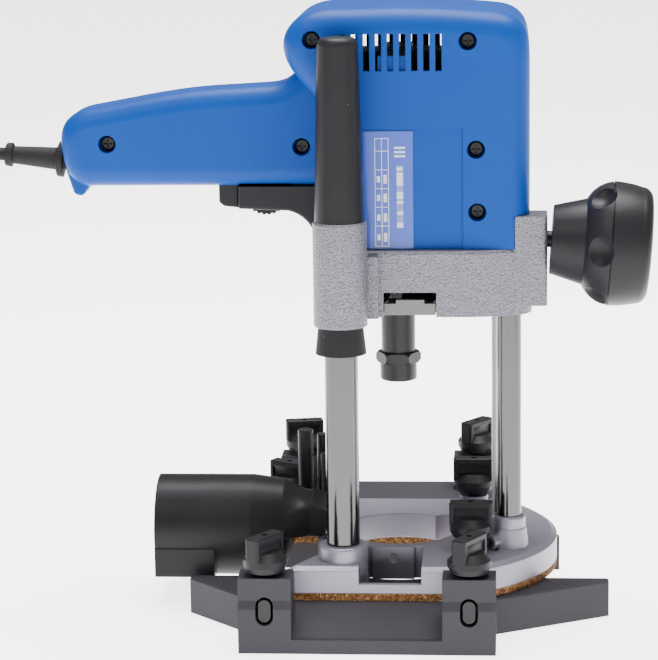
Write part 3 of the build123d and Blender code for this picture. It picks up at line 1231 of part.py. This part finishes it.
def make_cord_tube():
    radii = cord_radii()
    print("bend radii of the lead, mm:", [round(radius) for radius in radii])
    path = FilletPolyline(*CORD_ROUTE, radius=radii)
    section = Plane(origin=path @ 0, z_dir=path % 0) * Circle(CORD_R)
    tube = sweep(section, path=path)
    print("lead volume over section times length:", tube.volume / (section.area * path.length))
    print("length of the uncoiled lead, mm:", round(path.length))
    return tube


def make_cord_coil():
    radius = COIL_TURN_DIA / 2
    section = Pos(radius, FLOOR_REST + COIL_HIGH / 2) * RectangleRounded(COIL_WIDE, COIL_HIGH, 3.2)
    return Pos(COIL_X, COIL_Y, 0) * revolve(Plane.XZ * section, Axis.Z)


def make_cord_tie():
    """A strap round all the turns."""
    wide, thick = 9.0, 1.2
    outer = block(-COIL_WIDE / 2 - 0.6 - thick, COIL_WIDE / 2 + 0.6 + thick, -wide / 2, wide / 2,
                  0.02, FLOOR_REST + COIL_HIGH + thick)
    inner = block(-COIL_WIDE / 2 - 0.6, COIL_WIDE / 2 + 0.6, -wide, wide,
                  FLOOR_REST - 0.05, FLOOR_REST + COIL_HIGH + 0.05)
    strap = outer - inner
    return Pos(COIL_X, COIL_Y, 0) * Rot(0, 0, 200) * Pos(COIL_TURN_DIA / 2, 0, 0) * strap


PLUG_X, PLUG_Y = COIL_X + 4.0, COIL_Y - 2.0
PLUG_TURN = 65.0
PLUG_LOW = FLOOR_REST + COIL_HIGH + 0.1


def make_plug_body():
    """Round two-pin plug lying on the coil, its cable end towards the turns."""
    radius, length = 12.5, 26.0
    body = cone(13.0, 10.0, 0, 20)
    body += cone(10.0, 5.0, 20, length + 8)
    body = fillet(body.edges().sort_by(Axis.Z)[0], 1.5)
    return plug_place(radius) * body


def plug_place(radius):
    lying = Rot(0, -90, 0)
    return Pos(PLUG_X, PLUG_Y, PLUG_LOW + radius + 0.6) * Rot(0, 0, PLUG_TURN) * lying


def make_plug_pins():
    pins = []
    for side in (-1, 1):
        pin = cyl(2.4, -18.0, 0.0, 0, side * 9.5)
        pins.append(plug_place(12.5) * fillet(pin.edges().sort_by(Axis.Z)[0], 1.0))
    return pins


# ---------------------------------------------------------------- all the pieces
def build_all():
    keep("base_casting", make_base_casting())
    keep("cork_sole", make_cork_sole())
    keep("near_column", cyl(NEAR_R, CASTING_BOTTOM, NEAR_COLUMN_TOP, NEAR_X, NEAR_Y))
    keep("far_column", cyl(FAR_R, CASTING_BOTTOM, FAR_COLUMN_TOP, FAR_X, FAR_Y))
    keep("depth_scale_rod", cyl(ROD_R, CASTING_BOTTOM + 3, SCALE_ROD_TOP, SCALE_ROD_X, SCALE_ROD_Y))
    keep("column_set_screw", make_set_screw())
    keep("guide_bar_left", make_guide_bar(BAR_X[0]))
    keep("guide_bar_right", make_guide_bar(BAR_X[1]))
    keep("dust_spout", make_dust_spout())
    keep("spout_screws", *make_spout_screws())
    keep("depth_turret", make_turret())
    keep("turret_pin", make_turret_pin())
    keep("front_shoe", make_front_shoe())
    keep("rear_shoe", make_rear_shoe())
    front_y, rear_y = FRONT_EDGE + BLOCK_DEPTH / 2, REAR_EDGE - BLOCK_DEPTH / 2
    keep("wing_knob_front_left", make_wing_knob(BAR_X[0], front_y, BLOCK_HEIGHT, 57))
    keep("wing_knob_front_right", make_wing_knob(BAR_X[1], front_y, BLOCK_HEIGHT, 60))
    keep("wing_knob_rear_left", make_wing_knob(BAR_X[0], rear_y, BLOCK_HEIGHT, 12))
    keep("wing_knob_rear_right", make_wing_knob(BAR_X[1], rear_y, BLOCK_HEIGHT, 55))
    for name, (x, y, turn, rise) in PLATE_KNOBS.items():
        keep(name, make_wing_knob(x, y, CASTING_TOP + rise, turn))
    keep("carriage_casting", make_carriage())
    keep("near_bushes", *make_near_bushes())
    keep("far_bush", make_far_bush())
    keep("column_gaiter", make_gaiter())
    keep("spring_cap", make_spring_cap())
    keep("column_spring", make_column_spring())
    front, rear = make_housing()
    keep("housing_front", front)
    keep("housing_rear", rear)
    keep("housing_screws", *make_housing_screws())
    keep("rating_label", make_label())
    keep("stator_core", make_stator_core())
    keep("stator_coils", *make_stator_coils())
    keep("brush_holders", *make_brush_holders())
    keep("carbon_brushes", *make_brushes())
    keep("lower_bearing", bearing_outer(LOWER_BEARING_RADIUS, LOWER_BEARING_Z, LOWER_BEARING_WIDE))
    keep("upper_bearing", bearing_outer(UPPER_BEARING_RADIUS, UPPER_BEARING_Z, UPPER_BEARING_WIDE))
    keep("spindle_shaft", make_shaft())
    keep("armature_core", make_armature())
    keep("commutator", make_commutator())
    keep("cooling_fan", make_fan())
    keep("collet", make_collet())
    keep("collet_nut", make_collet_nut())
    keep("trigger", make_trigger())
    keep("trigger_spring", make_trigger_spring())
    keep("switch_body", make_switch())
    keep("speed_board", make_speed_board())
    keep("trigger_surround", make_surround())
    keep("speed_wheel", make_speed_wheel())
    keep("lock_knob", make_lock_knob())
    keep("lock_stud", make_lock_stud())
    keep("spindle_lock_plate", make_lock_plate())
    keep("lock_plate_spring", make_lock_spring())
    keep("cord_boot", make_cord_boot())
    keep("cord_clamp", make_cord_clamp())
    keep("cord_tube", make_cord_tube())
    keep("cord_coil", make_cord_coil())
    keep("cord_tie", make_cord_tie())
    keep("plug_body", make_plug_body())
    keep("plug_pins", *make_plug_pins())


def footprint_shift():
    """From the spindle's frame to the middle of the footprint, without the lead."""
    boxes = [s.bounding_box() for n in NODES if n not in LEAD_NODES for s in NODES[n]]
    middle_x = (min(b.min.X for b in boxes) + max(b.max.X for b in boxes)) / 2
    middle_y = (min(b.min.Y for b in boxes) + max(b.max.Y for b in boxes)) / 2
    return Vector(-middle_x, -middle_y, 0)


def write_all():
    os.makedirs("parts", exist_ok=True)
    shift = footprint_shift()
    print("spindle axis in the part's frame, mm:", shift)
    for name, solids in NODES.items():
        moved = [Pos(*shift) * solid for solid in solids]
        shape = moved[0] if len(moved) == 1 else Compound(children=moved)
        export_step(shape, f"parts/{name}.step")


build_all()
write_all()
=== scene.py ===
# %% [markdown]
# # A plunge router, finished for a product picture
# The CAD model gives every piece its shape and its place. This file adds what CAD
# does not hold: the paint, the moulded plastic, the cork, the lead that hangs from
# the handle, the light and the camera. It starts by loading the model as a frame.

import json
import math

import bpy
from mathutils import Matrix, Vector


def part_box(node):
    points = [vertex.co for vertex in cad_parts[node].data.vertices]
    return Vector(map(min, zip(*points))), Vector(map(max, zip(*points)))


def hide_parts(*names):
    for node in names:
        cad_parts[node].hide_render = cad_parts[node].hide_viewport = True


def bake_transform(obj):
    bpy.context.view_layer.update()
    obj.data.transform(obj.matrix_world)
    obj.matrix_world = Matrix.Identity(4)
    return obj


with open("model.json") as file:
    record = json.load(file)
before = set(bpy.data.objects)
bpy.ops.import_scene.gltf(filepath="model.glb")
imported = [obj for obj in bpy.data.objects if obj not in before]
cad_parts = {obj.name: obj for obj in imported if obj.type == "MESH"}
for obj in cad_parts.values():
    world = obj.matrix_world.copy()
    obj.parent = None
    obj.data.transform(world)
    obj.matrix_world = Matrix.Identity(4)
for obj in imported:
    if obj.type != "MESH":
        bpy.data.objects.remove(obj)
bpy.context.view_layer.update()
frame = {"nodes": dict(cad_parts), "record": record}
nodes = frame["nodes"]
MM = 0.001

# %% [markdown]
# ## The camera
# A long lens stands back a little over a metre, looks slightly down, and is turned
# a few degrees to the right of square on. It is hand held, so it also rolls a touch.
# The place is measured from the spindle, which is the middle of the machine.

# %% Camera
spindle_low, spindle_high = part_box("spindle_shaft")
SPINDLE = Vector(((spindle_low.x + spindle_high.x) / 2, (spindle_low.y + spindle_high.y) / 2, 0))
CAMERA_OFFSET = Vector((58.5, -1267.5, 390.8)) * MM
PITCH, YAW, ROLL = (math.radians(angle) for angle in (11.31, 4.2, 0.8))
LENS = 141.8


def camera_axes(pitch, yaw, roll):
    """Right, up and forward of the camera, in the row frame."""
    right = Vector((1, 0, 0))
    up = Vector((0, math.sin(pitch), math.cos(pitch)))
    forward = Vector((0, math.cos(pitch), -math.sin(pitch)))
    rolled_right = right * math.cos(roll) - up * math.sin(roll)
    rolled_up = right * math.sin(roll) + up * math.cos(roll)
    turn = Matrix.Rotation(yaw, 3, "Z")
    return turn @ rolled_right, turn @ rolled_up, turn @ forward


right, up, forward = camera_axes(PITCH, YAW, ROLL)
camera_data = bpy.data.cameras.new("camera")
camera_data.lens = LENS
camera_data.sensor_width = 36
camera = bpy.data.objects.new("camera", camera_data)
turned = Matrix((right, up, -forward)).transposed().to_4x4()
camera.matrix_world = Matrix.Translation(SPINDLE + CAMERA_OFFSET) @ turned
bpy.context.scene.collection.objects.link(camera)
bpy.context.scene.camera = camera
print("camera at", [round(v, 3) for v in camera.matrix_world.translation])

# %% [markdown]
# ## The lead
# A rubber lead leaves the bend protector at the back of the handle, sags over and
# hangs to the table, where the rest of it lies in a tied coil. A curve is the right
# tool: a few listed points, and a smooth NURBS line that passes near them.
# The line is then given its round section. Its top meets the handle and its foot
# rests on the table, and it is turned into a mesh.

# %% The lead's route
LEAD_DIAMETER = 6.5 * MM
LEAD_REST = LEAD_DIAMETER / 2 + 0.1 * MM
EXIT = (-194.05, 0.0, 225.6)
ROUTE = (
    EXIT,
    (-216.0, 0.0, 227.2),
    (-238.0, 1.0, 220.5),
    (-253.0, 3.0, 202.0),
    (-258.0, 7.0, 168.0),
    (-256.0, 11.0, 118.0),
    (-254.5, 16.0, 68.0),
    (-253.0, 27.0, 34.0),
    (-253.5, 45.0, 12.0),
    (-255.0, 70.0, LEAD_REST / MM),
    (-254.5, 88.0, LEAD_REST / MM),
)
coil_low, coil_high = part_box("cord_coil")
COIL_MIDDLE = (coil_low + coil_high) / 2
COIL_RADIUS = 36.0 * MM
TURNS = 7
POINTS_PER_TURN = 16


def in_row(point):
    """From millimetres about the spindle to metres in the row frame."""
    return SPINDLE + Vector(point) * MM


def coil_points():
    """Seven turns, three side by side and then two layers more on top of them."""
    places = []
    rings = ((1, 0), (0, 0), (-1, 0), (-0.5, 1), (0.5, 1), (0.9, 1.72), (-0.1, 1.76))
    step = LEAD_DIAMETER * 1.02
    total = TURNS * POINTS_PER_TURN
    start_angle = -math.atan2(16, 42)
    for index in range(3, total):
        turn = index / POINTS_PER_TURN
        first = min(int(turn), TURNS - 1)
        second = min(first + 1, TURNS - 1)
        part = turn - first
        # a turn keeps its lane, and changes to the next one in its last quarter
        shift = max(0.0, (part - 0.75) / 0.25)
        shift = shift * shift * (3 - 2 * shift)
        lane = rings[first][0] * (1 - shift) + rings[second][0] * shift
        layer = rings[first][1] * (1 - shift) + rings[second][1] * shift
        angle = start_angle + 2 * math.pi * turn
        radius = COIL_RADIUS + lane * step
        height = LEAD_REST + layer * step * 0.9
        places.append(Vector((COIL_MIDDLE.x + radius * math.cos(angle),
                              COIL_MIDDLE.y + radius * math.sin(angle), height)))
    return places


lead_points = [in_row(point) for point in ROUTE] + coil_points()
lead_curve = bpy.data.curves.new("lead_line", "CURVE")
lead_curve.dimensions = "3D"
lead_curve.resolution_u = 8
spline = lead_curve.splines.new("NURBS")
spline.points.add(len(lead_points) - 1)
for control, point in zip(spline.points, lead_points):
    control.co = (*point, 1)
spline.order_u = 3
spline.use_endpoint_u = True
lead_line = bpy.data.objects.new("lead_line", lead_curve)
bpy.context.scene.collection.objects.link(lead_line)
bpy.context.view_layer.update()
line_mesh = bpy.data.meshes.new_from_object(lead_line)

# %% Give the lead its round section
lead_curve.bevel_depth = LEAD_DIAMETER / 2
lead_curve.bevel_resolution = 5
lead_curve.use_fill_caps = True
lead_mesh = bpy.data.meshes.new_from_object(lead_line)
lead_mesh.name = "lead"
bpy.data.objects.remove(lead_line)
lead = bpy.data.objects.new("lead", lead_mesh)
bpy.context.scene.collection.objects.link(lead)
for polygon in lead_mesh.polygons:
    polygon.use_smooth = True
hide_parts("cord_tube", "cord_coil")
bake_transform(lead)
print("lead mesh:", len(lead_mesh.vertices), "vertices")

# %% [markdown]
# ## Writing shader maths as sums
# A finish is mostly arithmetic on textures. One small class wraps a node's output,
# so that `1 - mask * 0.5` adds the Math nodes by itself, and one method adds any
# other node. Both keep a finish as short as the sentence that describes it.

# %% The wire and the finish
class Wire:
    """A number that changes over the surface."""

    def __init__(self, finish, socket):
        self.finish = finish
        self.socket = socket

    def join(self, operation, first, second=0.0):
        return self.finish.node("ShaderNodeMath", {"operation": operation}, [first, second])

    def __add__(self, other):
        return self.join("ADD", self, other)

    def __radd__(self, other):
        return self.join("ADD", other, self)

    def __sub__(self, other):
        return self.join("SUBTRACT", self, other)

    def __rsub__(self, other):
        return self.join("SUBTRACT", other, self)

    def __mul__(self, other):
        return self.join("MULTIPLY", self, other)

    def __rmul__(self, other):
        return self.join("MULTIPLY", other, self)

    def __truediv__(self, other):
        return self.join("DIVIDE", self, other)

    def __pow__(self, other):
        return self.join("POWER", self, other)

    def above(self, level):
        return self.join("GREATER_THAN", self, level)

    def absolute(self):
        return self.join("ABSOLUTE", self)


class Finish:
    """A material: one Principled shader, and the nodes that feed it."""

    def __init__(self, name, **constants):
        self.material = bpy.data.materials.new(name)
        self.material.use_nodes = True
        self.tree = self.material.node_tree
        self.tree.nodes.clear()
        self.shader = self.tree.nodes.new("ShaderNodeBsdfPrincipled")
        output = self.tree.nodes.new("ShaderNodeOutputMaterial")
        self.tree.links.new(self.shader.outputs["BSDF"], output.inputs["Surface"])
        for label, value in constants.items():
            self.shader.inputs[label.replace("_", " ")].default_value = value
        self.place = None

    def node(self, kind, settings=None, inputs=None, output=0):
        """Adds a node. Its settings come first, then the values or links of its sockets."""
        made = self.tree.nodes.new(kind)
        for key, value in (settings or {}).items():
            if key == "stops":
                ramp = made.color_ramp
                while len(ramp.elements) < len(value):
                    ramp.elements.new(0.5)
                for stop, (position, colour) in zip(ramp.elements, value):
                    stop.position = position
                    stop.color = (*colour, 1)
            else:
                setattr(made, key, value)
        pairs = inputs.items() if isinstance(inputs, dict) else enumerate(inputs or [])
        for key, value in pairs:
            if isinstance(value, Wire):
                self.tree.links.new(value.socket, made.inputs[key])
            else:
                made.inputs[key].default_value = value
        return Wire(self, made.outputs[output])

    def feed(self, label, wire):
        self.tree.links.new(wire.socket, self.shader.inputs[label])
        return self

    def where(self):
        """The point on the surface, in metres."""
        if self.place is None:
            self.place = self.node("ShaderNodeTexCoord", output="Object")
        return self.place

    def stretched(self, scale):
        return self.node("ShaderNodeMapping", None, {"Vector": self.where(), "Scale": scale})

    def noise(self, scale, detail=3.0, rough=0.5, place=None, distortion=0.0):
        values = {"Vector": place or self.where(), "Scale": scale, "Detail": detail,
                  "Roughness": rough, "Distortion": distortion}
        return self.node("ShaderNodeTexNoise", None, values)

    def cells(self, scale, feature="F1", output="Distance", random=1.0):
        values = {"Vector": self.where(), "Scale": scale, "Randomness": random}
        return self.node("ShaderNodeTexVoronoi", {"feature": feature}, values, output)

    def ramp(self, wire, *stops):
        return self.node("ShaderNodeValToRGB", {"stops": stops}, {"Fac": wire})

    def between(self, wire, low, high, to_low=0.0, to_high=1.0):
        values = [wire, low, high, to_low, to_high]
        return self.node("ShaderNodeMapRange", {"clamp": True}, values)

    def mix(self, factor, first, second):
        """Mixes two colours."""
        made = self.tree.nodes.new("ShaderNodeMix")
        made.data_type = "RGBA"
        for index, value in ((0, factor), (6, first), (7, second)):
            if isinstance(value, Wire):
                self.tree.links.new(value.socket, made.inputs[index])
            elif index:
                made.inputs[index].default_value = (*value, 1)
            else:
                made.inputs[index].default_value = value
        return Wire(self, made.outputs[2])

    def apart(self):
        """The three coordinates of the point on the surface."""
        split = self.tree.nodes.new("ShaderNodeSeparateXYZ")
        self.tree.links.new(self.where().socket, split.inputs[0])
        return [Wire(self, split.outputs[axis]) for axis in "XYZ"]

    def inside(self, origin, low, high):
        """1 within a box whose corners are millimetres from the origin, else 0."""
        mask = 1
        for wire, middle, first, last in zip(self.apart(), origin, low, high):
            centre = middle + (first + last) / 2 * MM
            mask = mask * (1 - (wire - centre).absolute().above((last - first) / 2 * MM))
        return mask

    def relief(self, height, depth, edge=0.0):
        """Bump from a height; with an edge, small corners look rounded as well."""
        values = {"Height": height, "Strength": 1.0, "Distance": depth}
        if edge:
            values["Normal"] = self.node("ShaderNodeBevel", {"samples": 6}, {"Radius": edge})
        return self.feed("Normal", self.node("ShaderNodeBump", None, values))


print("sums on wires are ready")

# %% [markdown]
# ## Moulded plastics
# The blue shells are glass-filled nylon with a fine spark-eroded grain: satin, with
# a soft highlight. The grain is a small noise in the bump. A slow noise shifts the
# roughness where hands have polished it, and a few dust specks lighten the colour.

# %% Blue shells
def blue_shell():
    finish = Finish("blue_shell", Specular_IOR_Level=0.12)
    slow = finish.noise(28, 4)
    grain = finish.noise(2600, 2)
    speck = finish.cells(420, random=1.0)
    dust = finish.between(speck, 0.0, 0.16, 1.0, 0.0) * finish.noise(60).above(0.62)
    colour = finish.mix(slow, (0.0006, 0.040, 0.235), (0.0012, 0.050, 0.265))
    colour = finish.mix(dust * 0.3, colour, (0.10, 0.20, 0.42))
    # painted shade: inside the shells, where no light reaches, the blue is painted near black
    inside = finish.inside(SPINDLE, (-26, -37.6, 255), (32, 37.6, 288))
    colour = finish.mix(inside, colour, (0.004, 0.004, 0.005))
    finish.feed("Base Color", colour)
    finish.feed("Roughness", 0.34 + slow * 0.16)
    return finish.relief(grain + slow * 0.4, 0.00004, edge=0.0005)


BLUE = blue_shell()
print("finish:", BLUE.material.name)

# %% [markdown]
# The black parts come in two plastics. Knobs, cap and spout are a hard satin nylon
# with a cloudy sheen. The shoes are a greyer, duller plastic that picks up sawdust.

# %% Black and charcoal plastics
def black_plastic(name, dark, light, low, high, depth, gloss):
    finish = Finish(name, Specular_IOR_Level=gloss)
    slow = finish.noise(35, 5, 0.6)
    grain = finish.noise(1500, 3)
    fleck = finish.between(finish.cells(260), 0.02, 0.10, 1.0, 0.0)
    fleck = fleck * finish.noise(90).above(0.64)
    colour = finish.mix(slow, dark, light)
    colour = finish.mix(fleck * 0.4, colour, (0.30, 0.29, 0.28))
    finish.feed("Base Color", colour)
    finish.feed("Roughness", finish.between(slow + grain * 0.2, 0.3, 0.9, low, high))
    return finish.relief(grain + slow * 0.6, depth, edge=0.0005)


SATIN_BLACK = black_plastic("satin_black", (0.008, 0.008, 0.009), (0.016, 0.0155, 0.018), 0.34, 0.48, 0.00005, 0.14)
CHARCOAL = black_plastic("charcoal", (0.025, 0.023, 0.028), (0.040, 0.037, 0.044), 0.50, 0.66, 0.00006, 0.16)
RUBBER = black_plastic("rubber", (0.009, 0.008, 0.009), (0.018, 0.017, 0.018), 0.52, 0.70, 0.00004, 0.14)
print("finishes:", [f.material.name for f in (SATIN_BLACK, CHARCOAL, RUBBER)])

# %% [markdown]
# ## Castings
# The carriage wears hammertone enamel: grey paint with metal flake that shrinks into
# small dimples as it dries. Cells of about a millimetre give the dimples, and their
# borders stay darker. The base casting has a plain silver lacquer over shot-blasted
# alloy, so it gets only a fine roughness and a faint bloom.

# %% Hammertone and silver lacquer
def hammertone():
    finish = Finish("hammertone", Metallic=0.4, Specular_IOR_Level=0.5)
    warp = finish.noise(900, 3, 0.6)
    dimple = finish.cells(1250, feature="SMOOTH_F1")
    flake = finish.noise(3600, 2)
    tone = finish.between(dimple + warp * 0.5, 0.35, 0.95)
    colour = finish.ramp(tone * 0.6 + flake * 0.4,
                         (0.20, (0.20, 0.19, 0.225)), (0.55, (0.14, 0.134, 0.16)),
                         (0.85, (0.085, 0.081, 0.098)))
    finish.feed("Base Color", colour)
    finish.feed("Roughness", 0.34 + flake * 0.14)
    return finish.relief(1 - tone + flake * 0.3, 0.00018, edge=0.0008)


def silver_lacquer():
    finish = Finish("silver_lacquer", Metallic=0.5, Specular_IOR_Level=0.5)
    blast = finish.noise(1300, 3, 0.6)
    bloom = finish.noise(22, 4, 0.55)
    colour = finish.mix(bloom, (0.19, 0.177, 0.22), (0.27, 0.25, 0.30))
    finish.feed("Base Color", colour)
    finish.feed("Roughness", 0.30 + bloom * 0.12 + blast * 0.08)
    return finish.relief(blast + bloom * 0.8, 0.00012, edge=0.0008)


HAMMERTONE = hammertone()
LACQUER = silver_lacquer()
print("finishes:", HAMMERTONE.material.name, LACQUER.material.name)

# %% [markdown]
# ## Cork
# The sole is pressed granulated cork. Each granule has its own tan or brown, and the
# gaps between them are dark. A fine noise frays the gaps, so that it doesn't look tiled.

# %% Cork
def cork():
    finish = Finish("cork", Roughness=0.85, Specular_IOR_Level=0.2)
    granule = finish.cells(950, output="Color")
    gap = finish.cells(950, feature="DISTANCE_TO_EDGE")
    fine = finish.noise(1600, 4, 0.7)
    tint = finish.ramp(granule, (0.0, (0.05, 0.018, 0.005)), (0.35, (0.17, 0.075, 0.022)),
                       (0.7, (0.30, 0.15, 0.055)), (1.0, (0.44, 0.26, 0.115)))
    seam = finish.between(gap + fine * 0.08, 0.05, 0.16, 1.0, 0.0)
    finish.feed("Base Color", finish.mix(seam * 0.8, tint, (0.05, 0.018, 0.006)))
    return finish.relief(1 - seam + fine * 0.4, 0.0002)


CORK = cork()
print("finish:", CORK.material.name)

# %% [markdown]
# ## Metals
# The columns are ground and hard chromed. Fine lengthwise draw marks break up the
# reflection. Smaller steel pieces are plain or blackened, the bushes are bronze, and
# the windings are enamelled copper. They all share one recipe with other numbers.

# %% Steel, bronze and copper
def metal(name, dark, light, low, high, grain=(900, 900, 900), depth=0.00001, metallic=1.0):
    finish = Finish(name, Metallic=metallic)
    marks = finish.noise(1.0, 4, 0.65, finish.stretched(grain))
    cloud = finish.noise(45, 3)
    finish.feed("Base Color", finish.mix(marks * 0.6 + cloud * 0.4, dark, light))
    finish.feed("Roughness", finish.between(marks + cloud, 0.6, 1.4, low, high))
    return finish.relief(marks, depth, edge=0.0003)


CHROME = metal("ground_chrome", (0.060, 0.056, 0.058), (0.105, 0.100, 0.102), 0.12, 0.24, (1500, 1500, 60), 0.000012)
STEEL = metal("plain_steel", (0.16, 0.16, 0.165), (0.26, 0.26, 0.27), 0.26, 0.42)
BLACK_STEEL = metal("blackened_steel", (0.007, 0.007, 0.008), (0.015, 0.015, 0.016), 0.34, 0.5, metallic=0.5)
BRONZE = metal("sintered_bronze", (0.42, 0.25, 0.11), (0.58, 0.38, 0.19), 0.36, 0.5)
COPPER = metal("enamelled_copper", (0.42, 0.13, 0.05), (0.64, 0.25, 0.11), 0.24, 0.38, (300, 300, 4200), 0.00008)
LAMINATION = metal("laminations", (0.16, 0.16, 0.17), (0.30, 0.30, 0.32), 0.36, 0.5, (60, 60, 2600), 0.00005)
ZINC = metal("dull_zinc", (0.10, 0.108, 0.10), (0.14, 0.15, 0.138), 0.4, 0.55, metallic=0.5)
CARBON = metal("graphite", (0.02, 0.02, 0.02), (0.05, 0.05, 0.05), 0.4, 0.6, metallic=0.0)
print("metals:", [f.material.name for f in (CHROME, STEEL, BLACK_STEEL, BRONZE, COPPER, ZINC)])

# %% [markdown]
# ## The rating label
# A printed film: a bright blue ground with white ruling. A real one carries a table
# and lettering. This one has only plain ruled cells and bars, drawn by comparing the
# surface's place with a few distances, so it holds no lettering.

# %% Rating label
label_low, label_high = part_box("rating_label")


def rating_label():
    finish = Finish("rating_label", Roughness=0.32, Coat_Weight=0.3)
    side, _, height = finish.apart()
    across = (side - label_low.x) / MM
    upward = (height - label_low.z) / MM

    def band(value, middle, half):
        return 1 - (value - middle).absolute().above(half)

    def bar(x, half_x, z, half_z):
        return band(across, x, half_x) * band(upward, z, half_z)

    rules = band(across, 5.8, 0.16) + band(across, 9.0, 0.16) + band(across, 12.2, 0.16)
    rules = rules * band(upward, 27.0, 26.0)
    for level in (1.2, 11.0, 20.0, 29.0, 38.0, 47.0, 53.0):
        rules = rules + bar(9.0, 3.3, level, 0.16)
    streaks = finish.noise(1.0, 0, 0.5, finish.stretched((10, 10, 420))).above(0.47)
    print_marks = bar(17.6, 1.5, 25.0, 15.0) * (0.25 + 0.75 * streaks)
    for level in (5.5, 15.0, 24.5, 33.5):
        print_marks = print_marks + bar(7.4, 0.8, level, 1.5) + bar(10.6, 0.8, level, 2.1)
    for level in (44.5, 46.5, 48.5):
        print_marks = print_marks + bar(17.6, 2.6, level, 0.5)
    white = finish.between(rules + print_marks, 0.0, 1.0)
    ground = finish.mix(finish.noise(40), (0.002, 0.040, 0.36), (0.003, 0.052, 0.42))
    finish.feed("Base Color", finish.mix(white, ground, (0.50, 0.54, 0.60)))
    return finish


LABEL = rating_label()
print("label, mm:", [round(v / MM, 1) for v in label_high - label_low])

# %% Paint every node by its slot
BY_SLOT = {
    "casting_alloy": LACQUER, "cork": CORK, "chromed_steel": CHROME, "plain_steel": STEEL,
    "black_steel": BLACK_STEEL, "shoe_plastic": CHARCOAL, "black_plastic": SATIN_BLACK,
    "blue_plastic": BLUE, "hammer_paint": HAMMERTONE, "label_film": LABEL, "bronze": BRONZE,
    "copper": COPPER, "electrical_steel": LAMINATION, "carbon": CARBON, "rubber": RUBBER,
    "lock_plate": ZINC,
}
for subpart in frame["record"]["subparts"]:
    node = nodes[subpart["node"]]
    node.data.materials.clear()
    node.data.materials.append(BY_SLOT[subpart["material_slot"]].material)
lead.data.materials.append(RUBBER.material)

# %% [markdown]
# ## The studio
# A pale floor that glows a little, a soft sky all round, and large soft lamps. Chrome shows only what
# it reflects, so two dark cards stand out of view and put the long dark lines in it.

# %% Floor and cards
def sheet_mesh(name, corners, colour, rough=0.6, glow=0.0):
    mesh = bpy.data.meshes.new(name)
    mesh.from_pydata(corners, [], [tuple(range(len(corners)))])
    piece = bpy.data.objects.new(name, mesh)
    bpy.context.scene.collection.objects.link(piece)
    finish = Finish(name, Base_Color=(*colour, 1), Roughness=rough, Specular_IOR_Level=0.1,
                    Emission_Color=(1, 1, 1, 1), Emission_Strength=glow)
    mesh.materials.append(finish.material)
    return piece


FLOOR = 9.0
sheet_mesh("floor", [(-FLOOR, -FLOOR, 0), (FLOOR, -FLOOR, 0), (FLOOR, FLOOR, 0), (-FLOOR, FLOOR, 0)],
           (0.92, 0.92, 0.92), 0.9, 3.2)
CARD_AWAY = 0.95
for side, y0, y1 in ((-1, -0.9, -0.35), (1, -0.75, -0.2)):
    x = side * CARD_AWAY
    card = sheet_mesh(f"card_{'left' if side < 0 else 'right'}",
                      [(x, y0, 0.0), (x, y1, 0.0), (x, y1, 1.0), (x, y0, 1.0)], (0.01, 0.01, 0.012))
    card.visible_camera = False
print("floor and cards are up")

# %% Lamps and sky
def lamp(name, place, aim, size, power, colour=(1, 1, 1)):
    data = bpy.data.lights.new(name, "AREA")
    data.shape = "RECTANGLE"
    data.size, data.size_y = size
    data.energy = power
    data.color = colour
    thing = bpy.data.objects.new(name, data)
    thing.location = place
    look = Vector(aim) - Vector(place)
    thing.rotation_euler = look.to_track_quat("-Z", "Y").to_euler()
    bpy.context.scene.collection.objects.link(thing)


AIM = (0, 0, 0.15)         # about the middle of the tool
SKY = 0.35
lamp("key", (-0.8, -1.2, 1.6), AIM, (0.9, 0.7), 14)
lamp("top", (0.1, 0.2, 1.7), AIM, (1.3, 1.0), 85)
lamp("fill", (1.4, -1.2, 0.9), AIM, (0.7, 1.0), 4)
world = bpy.data.worlds.new("studio")
world.use_nodes = True
world.node_tree.nodes["Background"].inputs["Color"].default_value = (1, 1, 1, 1)
world.node_tree.nodes["Background"].inputs["Strength"].default_value = SKY
bpy.context.scene.world = world
print("lamps lit")
